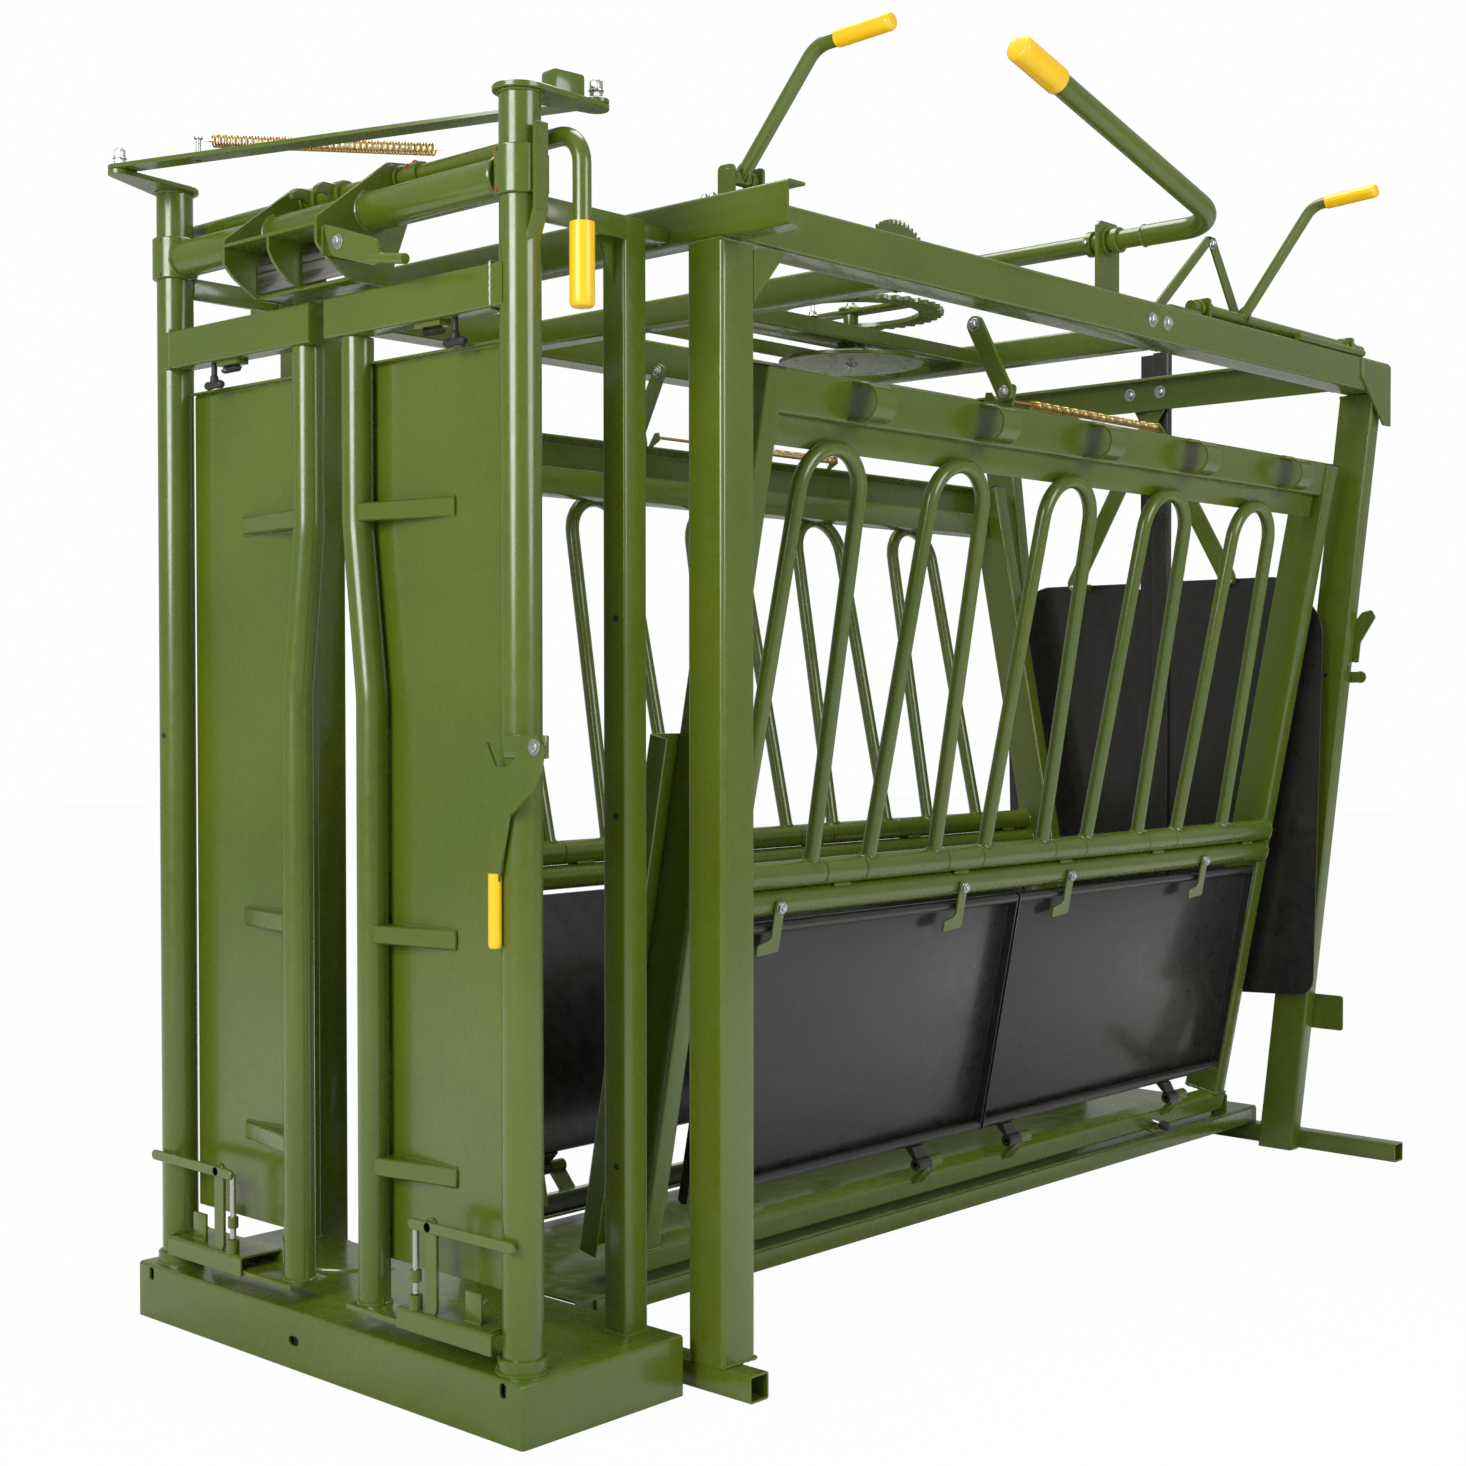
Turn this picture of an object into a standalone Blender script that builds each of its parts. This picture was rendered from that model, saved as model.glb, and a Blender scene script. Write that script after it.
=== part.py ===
"""Cattle crush (squeeze chute) with a head gate, two squeeze sides and a tail gate.

Metres, +Z up.  X runs across the crush, Y from the head gate to the tail gate.
The origin is on the floor, on the centre line, under the front face of the head gate's pan.
Every squeeze side piece is modelled upright about its hinge line, and an empty leans it.
"""
import math

import bmesh
import bpy
from mathutils import Matrix, Vector

# Clearances that every piece shares
GAP = 0.0003            # between pieces that rest on or run in each other
WELD = 0.002            # how far a welded piece sinks into its neighbour
PLANE_GAP = 0.002       # between flat pieces that swing past each other

# Head gate pan and posts
PAN_HALF = 0.595        # half the pan's width
PAN_DEPTH = 0.395
PAN_HEIGHT = 0.112
PAN_WALL = 0.005
DOOR_POST_X = 0.53      # door post axis from the centre line
DOOR_POST_Y = 0.06
DOOR_POST_R = 0.0365
DOOR_POST_TOP = 2.312
PIPE_WALL = 0.005
RING_R = 0.045          # bearing rings at the foot and the header
FOOT_RING_HEIGHT = 0.025
HEAD_POST_X = 0.4975
HEAD_POST_Y = 0.3415
HEAD_POST = 0.058       # side of the square post
HEAD_POST_TOP = 2.14
CAP = 0.006             # plate that closes a post

# Header, latch box and latch shaft
HEADER_Z = 2.172
HEADER_R = 0.0365
COLLAR = (2.133, 2.216)
BRACE_PLATE = 0.012
BRACE_HEIGHT = 0.046
DRAIN_R = 0.005         # drain hole of a tube closed at both ends
LATCH_SHAFT_Y = 0.13
LATCH_SHAFT_Z = 2.245
LATCH_SHAFT_R = 0.0165
LATCH_CHEEKS = (-0.178, 0.112)    # x of the two cheek plates
CHEEK = 0.008
LATCH_BOX_BOTTOM = 2.040
LATCH_BOX_FRONT = -0.064
LATCH_GRIP_X = 0.61
LATCH_GRIP_LOW = 1.945
GRIP_SLEEVE = 0.003     # wall of the soft sleeve on a hand grip
LATCH_GRIP = 0.145      # length of each sleeve
SQUEEZE_GRIP = 0.140
FRONT_GRIP = 0.123
TAIL_GRIP = 0.130

# Doors
DOOR_RAIL_Y = (0.022, 0.073)
DOOR_RAIL_Z = (1.945, 2.021)
DOOR_RAIL_INNER = 0.023
TUBE_WALL = 0.004
SLIDE_Y = (0.010, 0.110)        # the channel along the foot of each door
SLIDE_Z = (0.138, 0.178)
SLIDE_INNER = 0.243
SLIDE_WALL = 0.005
LEVER_PLATE = 0.009
LEVER_LENGTH = 0.165
LEVER_ANGLES = {-1: -72.0, 1: 84.0}     # degrees from +X, left and right
LEVER_HUB_R = 0.048
LEVER_EYE_R = 0.024
LINK_PLATE = 0.009
LINK_WIDTH = 0.047
LINK_BOLT_R = 0.010

# Door leaves
NECK_R = 0.03015
NECK_TOP_X = 0.077
NECK_LOW_X = 0.117
NECK_BEND_TOP = 1.60
NECK_BEND_LOW = 1.28
NECK_BOTTOM = 0.150
LEAF_Y = (0.085, 0.090)
LEAF_Z = (0.23, 1.90)
LEAF_FLANGE = 0.022
WEDGE_Z = (1.62, 0.84, 0.41)
WEDGE_HEIGHT = 0.036
WEDGE_REACH = 0.33
WEDGE_DEPTH = 0.05
TONGUE = 0.012
TONGUE_REACH = 0.37

# Door knobs, lock levers and the hook lever
KNOB_X = 0.372
KNOB_R = 0.006
KNOB_TRAVEL = 0.020
KNOB_Z = 1.902
KNOB_BAR = 0.058
LOCK_PIVOT = (0.330, 0.335)
LOCK_OUTER = (0.550, 0.336)
LOCK_INNER = (0.285, 0.334)
LOCK_PLATE = 0.008
LOCK_LUG = 0.016
LOCK_WIDTH = 0.020
LOCK_PIN_R = 0.006
SOCKET_R = 0.012
SOCKET_TOP = 0.205
HOOK_PIVOT = (0.617, 1.193)
HOOK_PLATE = 0.006
HOOK_PIN_R = 0.008
HOOK_EAR = 0.020
HOOK_GRIP_X = 0.512
HOOK_GRIP_LOW = 0.845

# Main frame
FRONT_POST_X = 0.6135
FRONT_POST_Y = 0.4755
FRONT_POST = 0.089
POST_WALL = 0.005
FRONT_POST_TOP = 2.108
FOOT = 0.051
FOOT_WALL = 0.004
FRONT_FOOT_Y = 0.435
FRONT_FOOT_HALF = 0.72
REAR_FOOT_Y = 3.101
REAR_FOOT_HALF = 0.70
CHANNEL_HALF = 0.81
CHANNEL_Y = 0.435
CHANNEL_DEPTH = 0.050
CHANNEL_HEIGHT = 0.080
CHANNEL_WALL = 0.006
RAIL = 0.089
RAIL_END = 3.13
REAR_POST_WIDTH = 0.1027
REAR_POST_Y = (3.05, 3.10)
REAR_POST_LOW_X = 0.415         # outer edge at the floor
GUSSET = 0.006
BEAM_Y = 2.945
BEAM_DEPTH = 0.045
BEAM_WALL = 0.008
CROSS_Y = (1.00, 1.98)          # front faces of the two cross members
CROSS_DEPTH = 0.050
CROSS_HEIGHT = 0.062
GEAR_Y = 1.60

# Floor
DECK_HALF = 0.260
DECK_TOP = 0.0965
DECK_WALL = 0.005
DECK_Y = (0.440, 3.140)

# Squeeze sides, in their own upright frame: x outwards, z up from the hinge line
SIDE_PIVOT_X = 0.235
SIDE_PIVOT_Z = 0.130
SIDE_LEAN = 11.0                # degrees outwards at rest
SIDE_PIN_R = 0.010
SIDE_LUG = 0.008
SIDE_LUG_Y = (0.585, 2.965)
SIDE_Y = (0.600, 2.958)
SILL_X = (-0.031, 0.019)
SILL_Z = (-0.017, 0.034)
SIDE_POST_X = (-0.083, 0.0186)
SIDE_POST_DEPTH = 0.051
SIDE_POST_Y = (0.625, 2.905)
SIDE_POST_TOP = 1.812
TOP_BEAM_X = (-0.042, 0.009)
TOP_BEAM_Z = (1.725, 1.815)
STOP_STRIP_Z = 1.665
BAR_X = 0.012
BAR_R = 0.0167
BAR_AXIS_Z = 0.800
BAR_APEX_Z = 1.675
BAR_FOOT_SPAN = 0.235
BAR_ARCH_R = 0.0935
BAR_FIRST_Y = 0.860
BAR_PITCH = 0.4244
BAR_COUNT = 5
SLEEVE_R = 0.0285
SLEEVE_LENGTH = 0.290
SLEEVE_SHAFT_R = 0.022
RUNNING = 0.0005        # radial clearance of a sleeve on its shaft
HOOD_Y = (0.92, 1.35, 1.77, 2.20, 2.68)
HOOD_WIDTH = 0.065
HOOD_REACH = 0.052
HOOD_WALL = 0.006
SHIELD_Y = (0.545, 0.745)
SHIELD_Z = (0.015, 1.080)
SHIELD_WALL = 0.005
SHIELD_FLANGE = 0.045

# Side panels and their catches
PANEL_X = (0.008, 0.036)
PANEL_SHEET = 0.004
PANEL_RIM = 0.018
PANEL_Z = (0.1185, 0.706)
PANEL_SPANS = ((0.715, 1.733), (1.741, 2.860))
PANEL_AXIS = (0.052, 0.085)
KNUCKLE_R = 0.015
KNUCKLE_LENGTH = 0.045
KNUCKLE_PIN_R = 0.006
KNUCKLE_Y = ((0.88, 1.51), (1.87, 2.61))
CATCH_Y = ((0.860, 1.490), (1.925, 2.560))
CATCH_PLATE = 0.006
CATCH_PIN_R = 0.008
CATCH_WIDTH = 0.028
CATCH_LEG = 0.095
CATCH_TOE = 0.040

# Squeeze shaft, gears and links
SHAFT_Y = 1.78
SHAFT_Z = 2.32
SHAFT_R = 0.021
SHAFT_LEFT = -0.66
BEARING_X = 0.610
BEARING = 0.010
BEARING_HALF = 0.045
HANDLE_R = 0.024
HANDLE_X = 0.90
HANDLE_END = (0.86, 1.06, 2.55)
SECTOR_R = 0.145
RING_GEAR_R = 0.225
RING_GEAR_BORE = 0.165
RING_GEAR_Z = 2.205
RING_GEAR = 0.010
RING_TEETH = 24
TOOTH = 0.012
DISC_R = 0.175
DISC_Z = 2.085
SPINDLE_R = 0.018
LINK_ARM_Y = 1.430
LINK_ARM = 0.012
LINK_ARM_WIDTH = 0.060
LINK_ARM_FOOT = (-0.018, 1.845)         # on the side, upright frame
LINK_ARM_TOP = (0.490, 2.100)           # world x and z
LINK_PIN_R = 0.009

# Front lever and tail gate handle
LEVER_R = 0.01335
LEVER_Y = 0.50
LEVER_X = 0.640
LEVER_Z = 2.225
LEVER_BEND = (0.822, 2.430)
LEVER_TIP = (0.994, 2.437)
EAR = 0.008
EAR_GRIP = 0.020        # metal round an ear's hole
TAIL_SHAFT_R = 0.015
TAIL_SHAFT_X = 0.610
TAIL_SHAFT_Y = (2.150, 3.050)
TAIL_EARS_Y = (2.200, 2.960)
TAIL_ROD_Y = 2.400
TAIL_BEND = (0.803, 2.480)
TAIL_TIP = (0.969, 2.490)
BRACE_X = 0.575
BRACE_FEET = (2.03, 2.46)
BRACE_APEX = (2.30, 2.42)

# Tail gate
GATE_PIVOT_X = 0.05     # each arm crosses to a pin on the other side
GATE_PIVOT_Z = 2.16
GATE_PIN_R = 0.010
GATE_DEPTH = 0.025
GATE_SHEET = 0.004
GATE_TUBE = (0.003, 0.054)
GATE_TUBE_Z = (0.400, 2.280)
GATE_Z = (0.43, 1.62)
GATE_EDGE = ((0.515, 0.45), (0.540, 1.50), (0.430, 1.62))
GATE_RIM = 0.022
GATE_ARM = 0.010
GATE_ARM_WIDTH = 0.050
GATE_ARM_FOOT = (0.25, 1.62)

# Spring on the link bar
SPRING_START = (-0.298, -0.035, 2.360)
SPRING_END = (0.120, 0.235, 2.320)
SPRING_R = 0.0115
SPRING_WIRE = 0.0021
SPRING_TURNS = 15
SPRING_STEPS = 6        # points in one turn

SMALL = 8               # sides of small round pieces
LARGE = 12              # sides of pipes and posts
HEX = 6                 # bolt heads, thin pins and drain holes


def clear_scene():
    for obj in list(bpy.data.objects):
        bpy.data.objects.remove(obj, do_unlink=True)
    for coll in list(bpy.data.collections):
        bpy.data.collections.remove(coll)


clear_scene()
CRUSH = bpy.data.collections.new("cattle_crush")
WORKSHOP = bpy.data.collections.new("workshop")
bpy.context.scene.collection.children.link(CRUSH)
bpy.context.scene.collection.children.link(WORKSHOP)


def material(name, colour, roughness, metallic=0.0):
    mat = bpy.data.materials.new(name)
    mat.use_nodes = True
    shader = mat.node_tree.nodes["Principled BSDF"]
    shader.inputs["Base Color"].default_value = (*colour, 1.0)
    shader.inputs["Roughness"].default_value = roughness
    shader.inputs["Metallic"].default_value = metallic
    return mat


GREEN = material("green_paint", (0.10, 0.21, 0.06), 0.30)
BLACK = material("black_sheet", (0.015, 0.014, 0.013), 0.42)
ZINC = material("zinc_plate", (0.55, 0.55, 0.52), 0.35, 1.0)
BRASS = material("brass_wire", (0.55, 0.38, 0.13), 0.35, 1.0)
DARK = material("dark_knob", (0.03, 0.025, 0.025), 0.55)


# Blanks: closed solids in the workshop, later welded, cut and named
def blank(mesh):
    obj = bpy.data.objects.new("blank", mesh)
    WORKSHOP.objects.link(obj)
    return obj


def tidy_blank(bm):
    bmesh.ops.remove_doubles(bm, verts=bm.verts, dist=0.00001)
    bmesh.ops.recalc_face_normals(bm, faces=bm.faces)
    mesh = bpy.data.meshes.new("blank")
    bm.to_mesh(mesh)
    bm.free()
    return blank(mesh)


def block(x, y, z):
    """A box between two values on each axis."""
    bm = bmesh.new()
    bmesh.ops.create_cube(bm, size=1.0)
    spans = (x, y, z)
    bmesh.ops.scale(bm, vec=[abs(high - low) for low, high in spans], verts=bm.verts)
    bmesh.ops.translate(bm, vec=[(low + high) / 2 for low, high in spans], verts=bm.verts)
    return tidy_blank(bm)


def from_curve(curve, place=None):
    """A curve's evaluated mesh, welded and placed."""
    obj = bpy.data.objects.new("outline", curve)
    WORKSHOP.objects.link(obj)
    bpy.context.view_layer.update()
    graph = bpy.context.evaluated_depsgraph_get()
    mesh = bpy.data.meshes.new_from_object(obj.evaluated_get(graph))
    bpy.data.objects.remove(obj)
    bm = bmesh.new()
    bm.from_mesh(mesh)
    bpy.data.meshes.remove(mesh)
    if place:
        bm.transform(place)
    return tidy_blank(bm)


FLAT = {
    "X": Matrix(((0, 0, 1, 0), (1, 0, 0, 0), (0, 1, 0, 0), (0, 0, 0, 1))),
    "Y": Matrix(((1, 0, 0, 0), (0, 0, 1, 0), (0, 1, 0, 0), (0, 0, 0, 1))),
    "Z": Matrix.Identity(4),
}


def prism(axis, span, *loops):
    """Flat outlines, the later ones holes, drawn out along an axis between two values."""
    curve = bpy.data.curves.new("outline", "CURVE")
    curve.dimensions = "2D"
    curve.fill_mode = "BOTH"
    curve.extrude = abs(span[1] - span[0]) / 2
    for loop in loops:
        spline = curve.splines.new("POLY")
        spline.points.add(len(loop) - 1)
        for point, (u, v) in zip(spline.points, loop):
            point.co = (u, v, 0.0, 1.0)
        spline.use_cyclic_u = True
    place = FLAT[axis] @ Matrix.Translation((0, 0, (span[0] + span[1]) / 2))
    return from_curve(curve, place)


def rod(points, radius, sides=8):
    """A round bar along points, with closed ends."""
    curve = bpy.data.curves.new("rod", "CURVE")
    curve.dimensions = "3D"
    curve.bevel_depth = radius
    curve.bevel_resolution = sides // 2 - 2
    curve.use_fill_caps = True
    spline = curve.splines.new("POLY")
    spline.points.add(len(points) - 1)
    for point, place in zip(spline.points, points):
        point.co = (*place, 1.0)
    return from_curve(curve)


def rectangle(u, v):
    return [(u[0], v[0]), (u[1], v[0]), (u[1], v[1]), (u[0], v[1])]


def circle(centre, radius, sides=LARGE):
    step = 2 * math.pi / sides
    return [(centre[0] + radius * math.cos(i * step), centre[1] + radius * math.sin(i * step))
            for i in range(sides)]


def bore(centre, radius, sides=SMALL):
    """A hole whose flats clear a round piece of the given radius at any turn."""
    half = math.pi / sides
    reach = (radius + GAP) / math.cos(half)
    return [(centre[0] + reach * math.cos((2 * i + 1) * half), centre[1] + reach * math.sin((2 * i + 1) * half))
            for i in range(sides)]


def capsule(start, end, radius, sides=SMALL):
    """A flat bar with round ends between two points of a plane."""
    along = math.atan2(end[1] - start[1], end[0] - start[0])
    points = []
    for centre, turn in ((end, -math.pi / 2), (start, math.pi / 2)):
        for i in range(sides // 2 + 1):
            angle = along + turn + math.pi * i / (sides // 2)
            points.append((centre[0] + radius * math.cos(angle), centre[1] + radius * math.sin(angle)))
    return points


def inset(points, distance):
    """A convex outline moved in by a distance."""
    result = []
    count = len(points)
    turn = sum(points[i][0] * points[(i + 1) % count][1] - points[(i + 1) % count][0] * points[i][1]
               for i in range(count))
    side = 1 if turn > 0 else -1
    for i in range(count):
        here = Vector(points[i])
        before = (here - Vector(points[i - 1])).normalized()
        after = (Vector(points[(i + 1) % count]) - here).normalized()
        normal_a = Vector((-before.y, before.x)) * side
        normal_b = Vector((-after.y, after.x)) * side
        corner = (normal_a + normal_b) / (1 + normal_a.dot(normal_b))
        result.append(tuple(here + corner * distance))
    return result


def rounded(points, radius, steps=4, closed=False):
    """Corners of a path or outline turned into arcs."""
    points = [Vector(p) for p in points]
    count = len(points)
    result = []
    for i, here in enumerate(points):
        if not closed and i in (0, count - 1):
            result.append(tuple(here))
            continue
        back = points[i - 1] - here
        ahead = points[(i + 1) % count] - here
        half = back.angle(ahead) / 2
        reach = min(radius / math.tan(half), back.length * 0.49, ahead.length * 0.49)
        bend = reach * math.tan(half)
        centre = here + (back.normalized() + ahead.normalized()).normalized() * bend / math.sin(half)
        start = here + back.normalized() * reach - centre
        end = here + ahead.normalized() * reach - centre
        sweep = start.angle(end)
        for k in range(steps + 1):
            share = k / steps
            mix = (start * math.sin((1 - share) * sweep) + end * math.sin(share * sweep))
            result.append(tuple(centre + mix / math.sin(sweep)))
    return result


def grip(before, tip, radius, length):
    """A sleeve over the last part of a hand lever."""
    before, tip = Vector(before), Vector(tip)
    along = (tip - before).normalized()
    return rod([tuple(tip - along * length), tuple(tip + along * WELD)], radius + GRIP_SLEEVE)


def round_bar(axis, centre, radius, span, sides=SMALL):
    return prism(axis, span, circle(centre, radius, sides))


def pipe(axis, centre, radius, wall, span, sides=LARGE):
    return prism(axis, span, circle(centre, radius, sides), circle(centre, radius - wall, sides))


def box_tube(axis, u, v, wall, span):
    inner_u = (u[0] + wall, u[1] - wall)
    inner_v = (v[0] + wall, v[1] - wall)
    return prism(axis, span, rectangle(u, v), rectangle(inner_u, inner_v))


def weld(pieces, cuts=()):
    """Join blanks into one solid, then cut it with others."""
    base = pieces[0]
    others = [(piece, "UNION") for piece in pieces[1:]] + [(piece, "DIFFERENCE") for piece in cuts]
    if not others:
        return base
    for piece, operation in others:
        boolean = base.modifiers.new(operation.lower(), "BOOLEAN")
        boolean.operation = operation
        boolean.object = piece
    bpy.context.view_layer.update()
    graph = bpy.context.evaluated_depsgraph_get()
    mesh = bpy.data.meshes.new_from_object(base.evaluated_get(graph))
    for piece, _ in others:
        bpy.data.objects.remove(piece)
    bpy.data.objects.remove(base)
    return blank(mesh)


def name_node(name, obj, mat, parent=None, origin=(0, 0, 0)):
    """Give a finished blank its name, material, origin and parent."""
    obj.name = name
    obj.data.name = name
    obj.data.transform(Matrix.Translation([-value for value in origin]))
    obj.location = origin
    obj.data.materials.clear()
    obj.data.materials.append(mat)
    obj.data.shade_smooth()
    obj.data.set_sharp_from_angle(angle=math.radians(35))
    if parent:
        obj.parent = parent
    WORKSHOP.objects.unlink(obj)
    CRUSH.objects.link(obj)
    return obj


def flip(side, points):
    """Outline points with their first value on the given side."""
    return [(side * point[0], *point[1:]) for point in points]


def across(side, low, high):
    """A span of x on the given side."""
    return (side * low, side * high) if side > 0 else (side * high, side * low)


SIDES = {-1: "left", 1: "right"}


# Head gate
def base_pan():
    shell = block((-PAN_HALF, PAN_HALF), (0, PAN_DEPTH), (0, PAN_HEIGHT))
    hollow = block((PAN_WALL - PAN_HALF, PAN_HALF - PAN_WALL), (PAN_WALL, PAN_DEPTH - PAN_WALL),
                   (-PAN_WALL, PAN_HEIGHT - PAN_WALL))
    slot = prism("Y", (-PAN_WALL, 2 * PAN_WALL), capsule((-0.060, 0.055), (-0.050, 0.055), 0.010))
    rings = []
    for side in SIDES:
        centre = (side * DOOR_POST_X, DOOR_POST_Y)
        rings.append(prism("Z", (PAN_HEIGHT - WELD, PAN_HEIGHT + FOOT_RING_HEIGHT),
                           circle(centre, RING_R, LARGE), bore(centre, DOOR_POST_R, LARGE)))
    name_node("base_pan", weld([shell] + rings, [hollow, slot]), GREEN)


def head_post(side):
    half = HEAD_POST / 2
    x = (side * HEAD_POST_X - half, side * HEAD_POST_X + half)
    y = (HEAD_POST_Y - half, HEAD_POST_Y + half)
    tube = box_tube("Z", x, y, TUBE_WALL, (PAN_HEIGHT + GAP, HEAD_POST_TOP))
    cap = block(x, y, (HEAD_POST_TOP - WELD, HEAD_POST_TOP + CAP))
    tab = block((x[0] + PIPE_WALL, x[1] - PIPE_WALL), (y[1] - WELD, CHANNEL_Y - GAP),
                (FRONT_POST_TOP + CHANNEL_WALL, HEAD_POST_TOP - CAP))
    name_node("head_post_" + SIDES[side], weld([tube, cap, tab]), GREEN)


def header():
    """The tube between the door posts, with its collars and the latch box."""
    tube = pipe("X", (DOOR_POST_Y, HEADER_Z), HEADER_R, PIPE_WALL, (-DOOR_POST_X, DOOR_POST_X))
    pieces = [tube]
    bores = []
    back = HEAD_POST_Y - HEAD_POST / 2 - GAP
    for side in SIDES:
        centre = (side * DOOR_POST_X, DOOR_POST_Y)
        pieces.append(round_bar("Z", centre, RING_R, COLLAR, LARGE))
        pieces.append(block((side * DOOR_POST_X - BRACE_PLATE / 2, side * DOOR_POST_X + BRACE_PLATE / 2),
                            (DOOR_POST_Y + RING_R - 2 * WELD, back),
                            (HEAD_POST_TOP - BRACE_HEIGHT, HEAD_POST_TOP - 2 * WELD)))
        bores.append(prism("Z", (COLLAR[0] - RING_R, COLLAR[1] + RING_R), bore(centre, DOOR_POST_R, LARGE)))
    cheek_outline = [(LATCH_BOX_FRONT, LATCH_BOX_BOTTOM + 0.058), (0.010, LATCH_BOX_BOTTOM),
                     (DOOR_POST_Y + HEADER_R + WELD, LATCH_BOX_BOTTOM),
                     (LATCH_SHAFT_Y + 0.035, LATCH_SHAFT_Z - 0.030),
                     (LATCH_SHAFT_Y + 0.035, LATCH_SHAFT_Z + 0.023),
                     (LATCH_SHAFT_Y - 0.030, LATCH_SHAFT_Z + 0.028),
                     (LATCH_BOX_FRONT, LATCH_BOX_BOTTOM + 0.105)]
    hole = bore((LATCH_SHAFT_Y, LATCH_SHAFT_Z), LATCH_SHAFT_R)
    for x in LATCH_CHEEKS:
        pieces.append(prism("X", (x, x + CHEEK), cheek_outline, hole))
    inner = (LATCH_CHEEKS[0] + WELD, LATCH_CHEEKS[1] + CHEEK - WELD)
    floor = LATCH_BOX_BOTTOM + WELD
    pieces.append(block(inner, (0.016, DOOR_POST_Y + HEADER_R), (floor, floor + CHEEK)))
    pieces.append(block(inner, (LATCH_BOX_FRONT + WELD, 0.040), (floor + 0.088, floor + 0.088 + CHEEK)))
    middle = sum(LATCH_CHEEKS) / 2
    pieces.append(block((middle, middle + CHEEK), (0.018, DOOR_POST_Y + CHEEK),
                        (floor + WELD, HEADER_Z - HEADER_R + PIPE_WALL / 2)))
    # The cheeks part the tube into three, and each part drains by itself
    stops = (-DOOR_POST_X + RING_R, LATCH_CHEEKS[0], LATCH_CHEEKS[1], DOOR_POST_X - RING_R)
    for low, high in zip(stops, stops[1:]):
        bores.append(round_bar("Z", ((2 * low + high) / 3, DOOR_POST_Y), DRAIN_R,
                               (HEADER_Z - HEADER_R - WELD, HEADER_Z), HEX))
    name_node("header_tube", weld(pieces, bores), GREEN)


def latch_shaft():
    end = LATCH_GRIP_X
    path = rounded([(-end, LATCH_SHAFT_Y, LATCH_GRIP_LOW), (-end, LATCH_SHAFT_Y, LATCH_SHAFT_Z),
                    (end, LATCH_SHAFT_Y, LATCH_SHAFT_Z), (end, LATCH_SHAFT_Y, LATCH_GRIP_LOW)], 0.050)
    shaft = rod(path, LATCH_SHAFT_R, LARGE)
    grips = [round_bar("Z", (side * end, LATCH_SHAFT_Y), LATCH_SHAFT_R + GRIP_SLEEVE,
                       (LATCH_GRIP_LOW - WELD, LATCH_GRIP_LOW + LATCH_GRIP), LARGE) for side in SIDES]
    name_node("latch_shaft", weld([shaft] + grips), GREEN, origin=(0, LATCH_SHAFT_Y, LATCH_SHAFT_Z))


def lever_eye(side):
    """The eye at the end of a door post's top lever."""
    angle = math.radians(LEVER_ANGLES[side])
    return (side * DOOR_POST_X + LEVER_LENGTH * math.cos(angle), DOOR_POST_Y + LEVER_LENGTH * math.sin(angle))


def teardrop(start, end, start_r, end_r, sides=LARGE):
    """A flat lever outline, wide at its hub and narrow at its eye."""
    along = math.atan2(end[1] - start[1], end[0] - start[0])
    length = math.dist(start, end)
    lean = math.acos((start_r - end_r) / length)
    points = []
    for i in range(sides // 2 + 1):
        angle = along - lean + 2 * lean * i / (sides // 2)
        points.append((end[0] + end_r * math.cos(angle), end[1] + end_r * math.sin(angle)))
    for i in range(sides // 2 + 1):
        angle = along + lean + (2 * math.pi - 2 * lean) * i / (sides // 2)
        points.append((start[0] + start_r * math.cos(angle), start[1] + start_r * math.sin(angle)))
    return points


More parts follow.
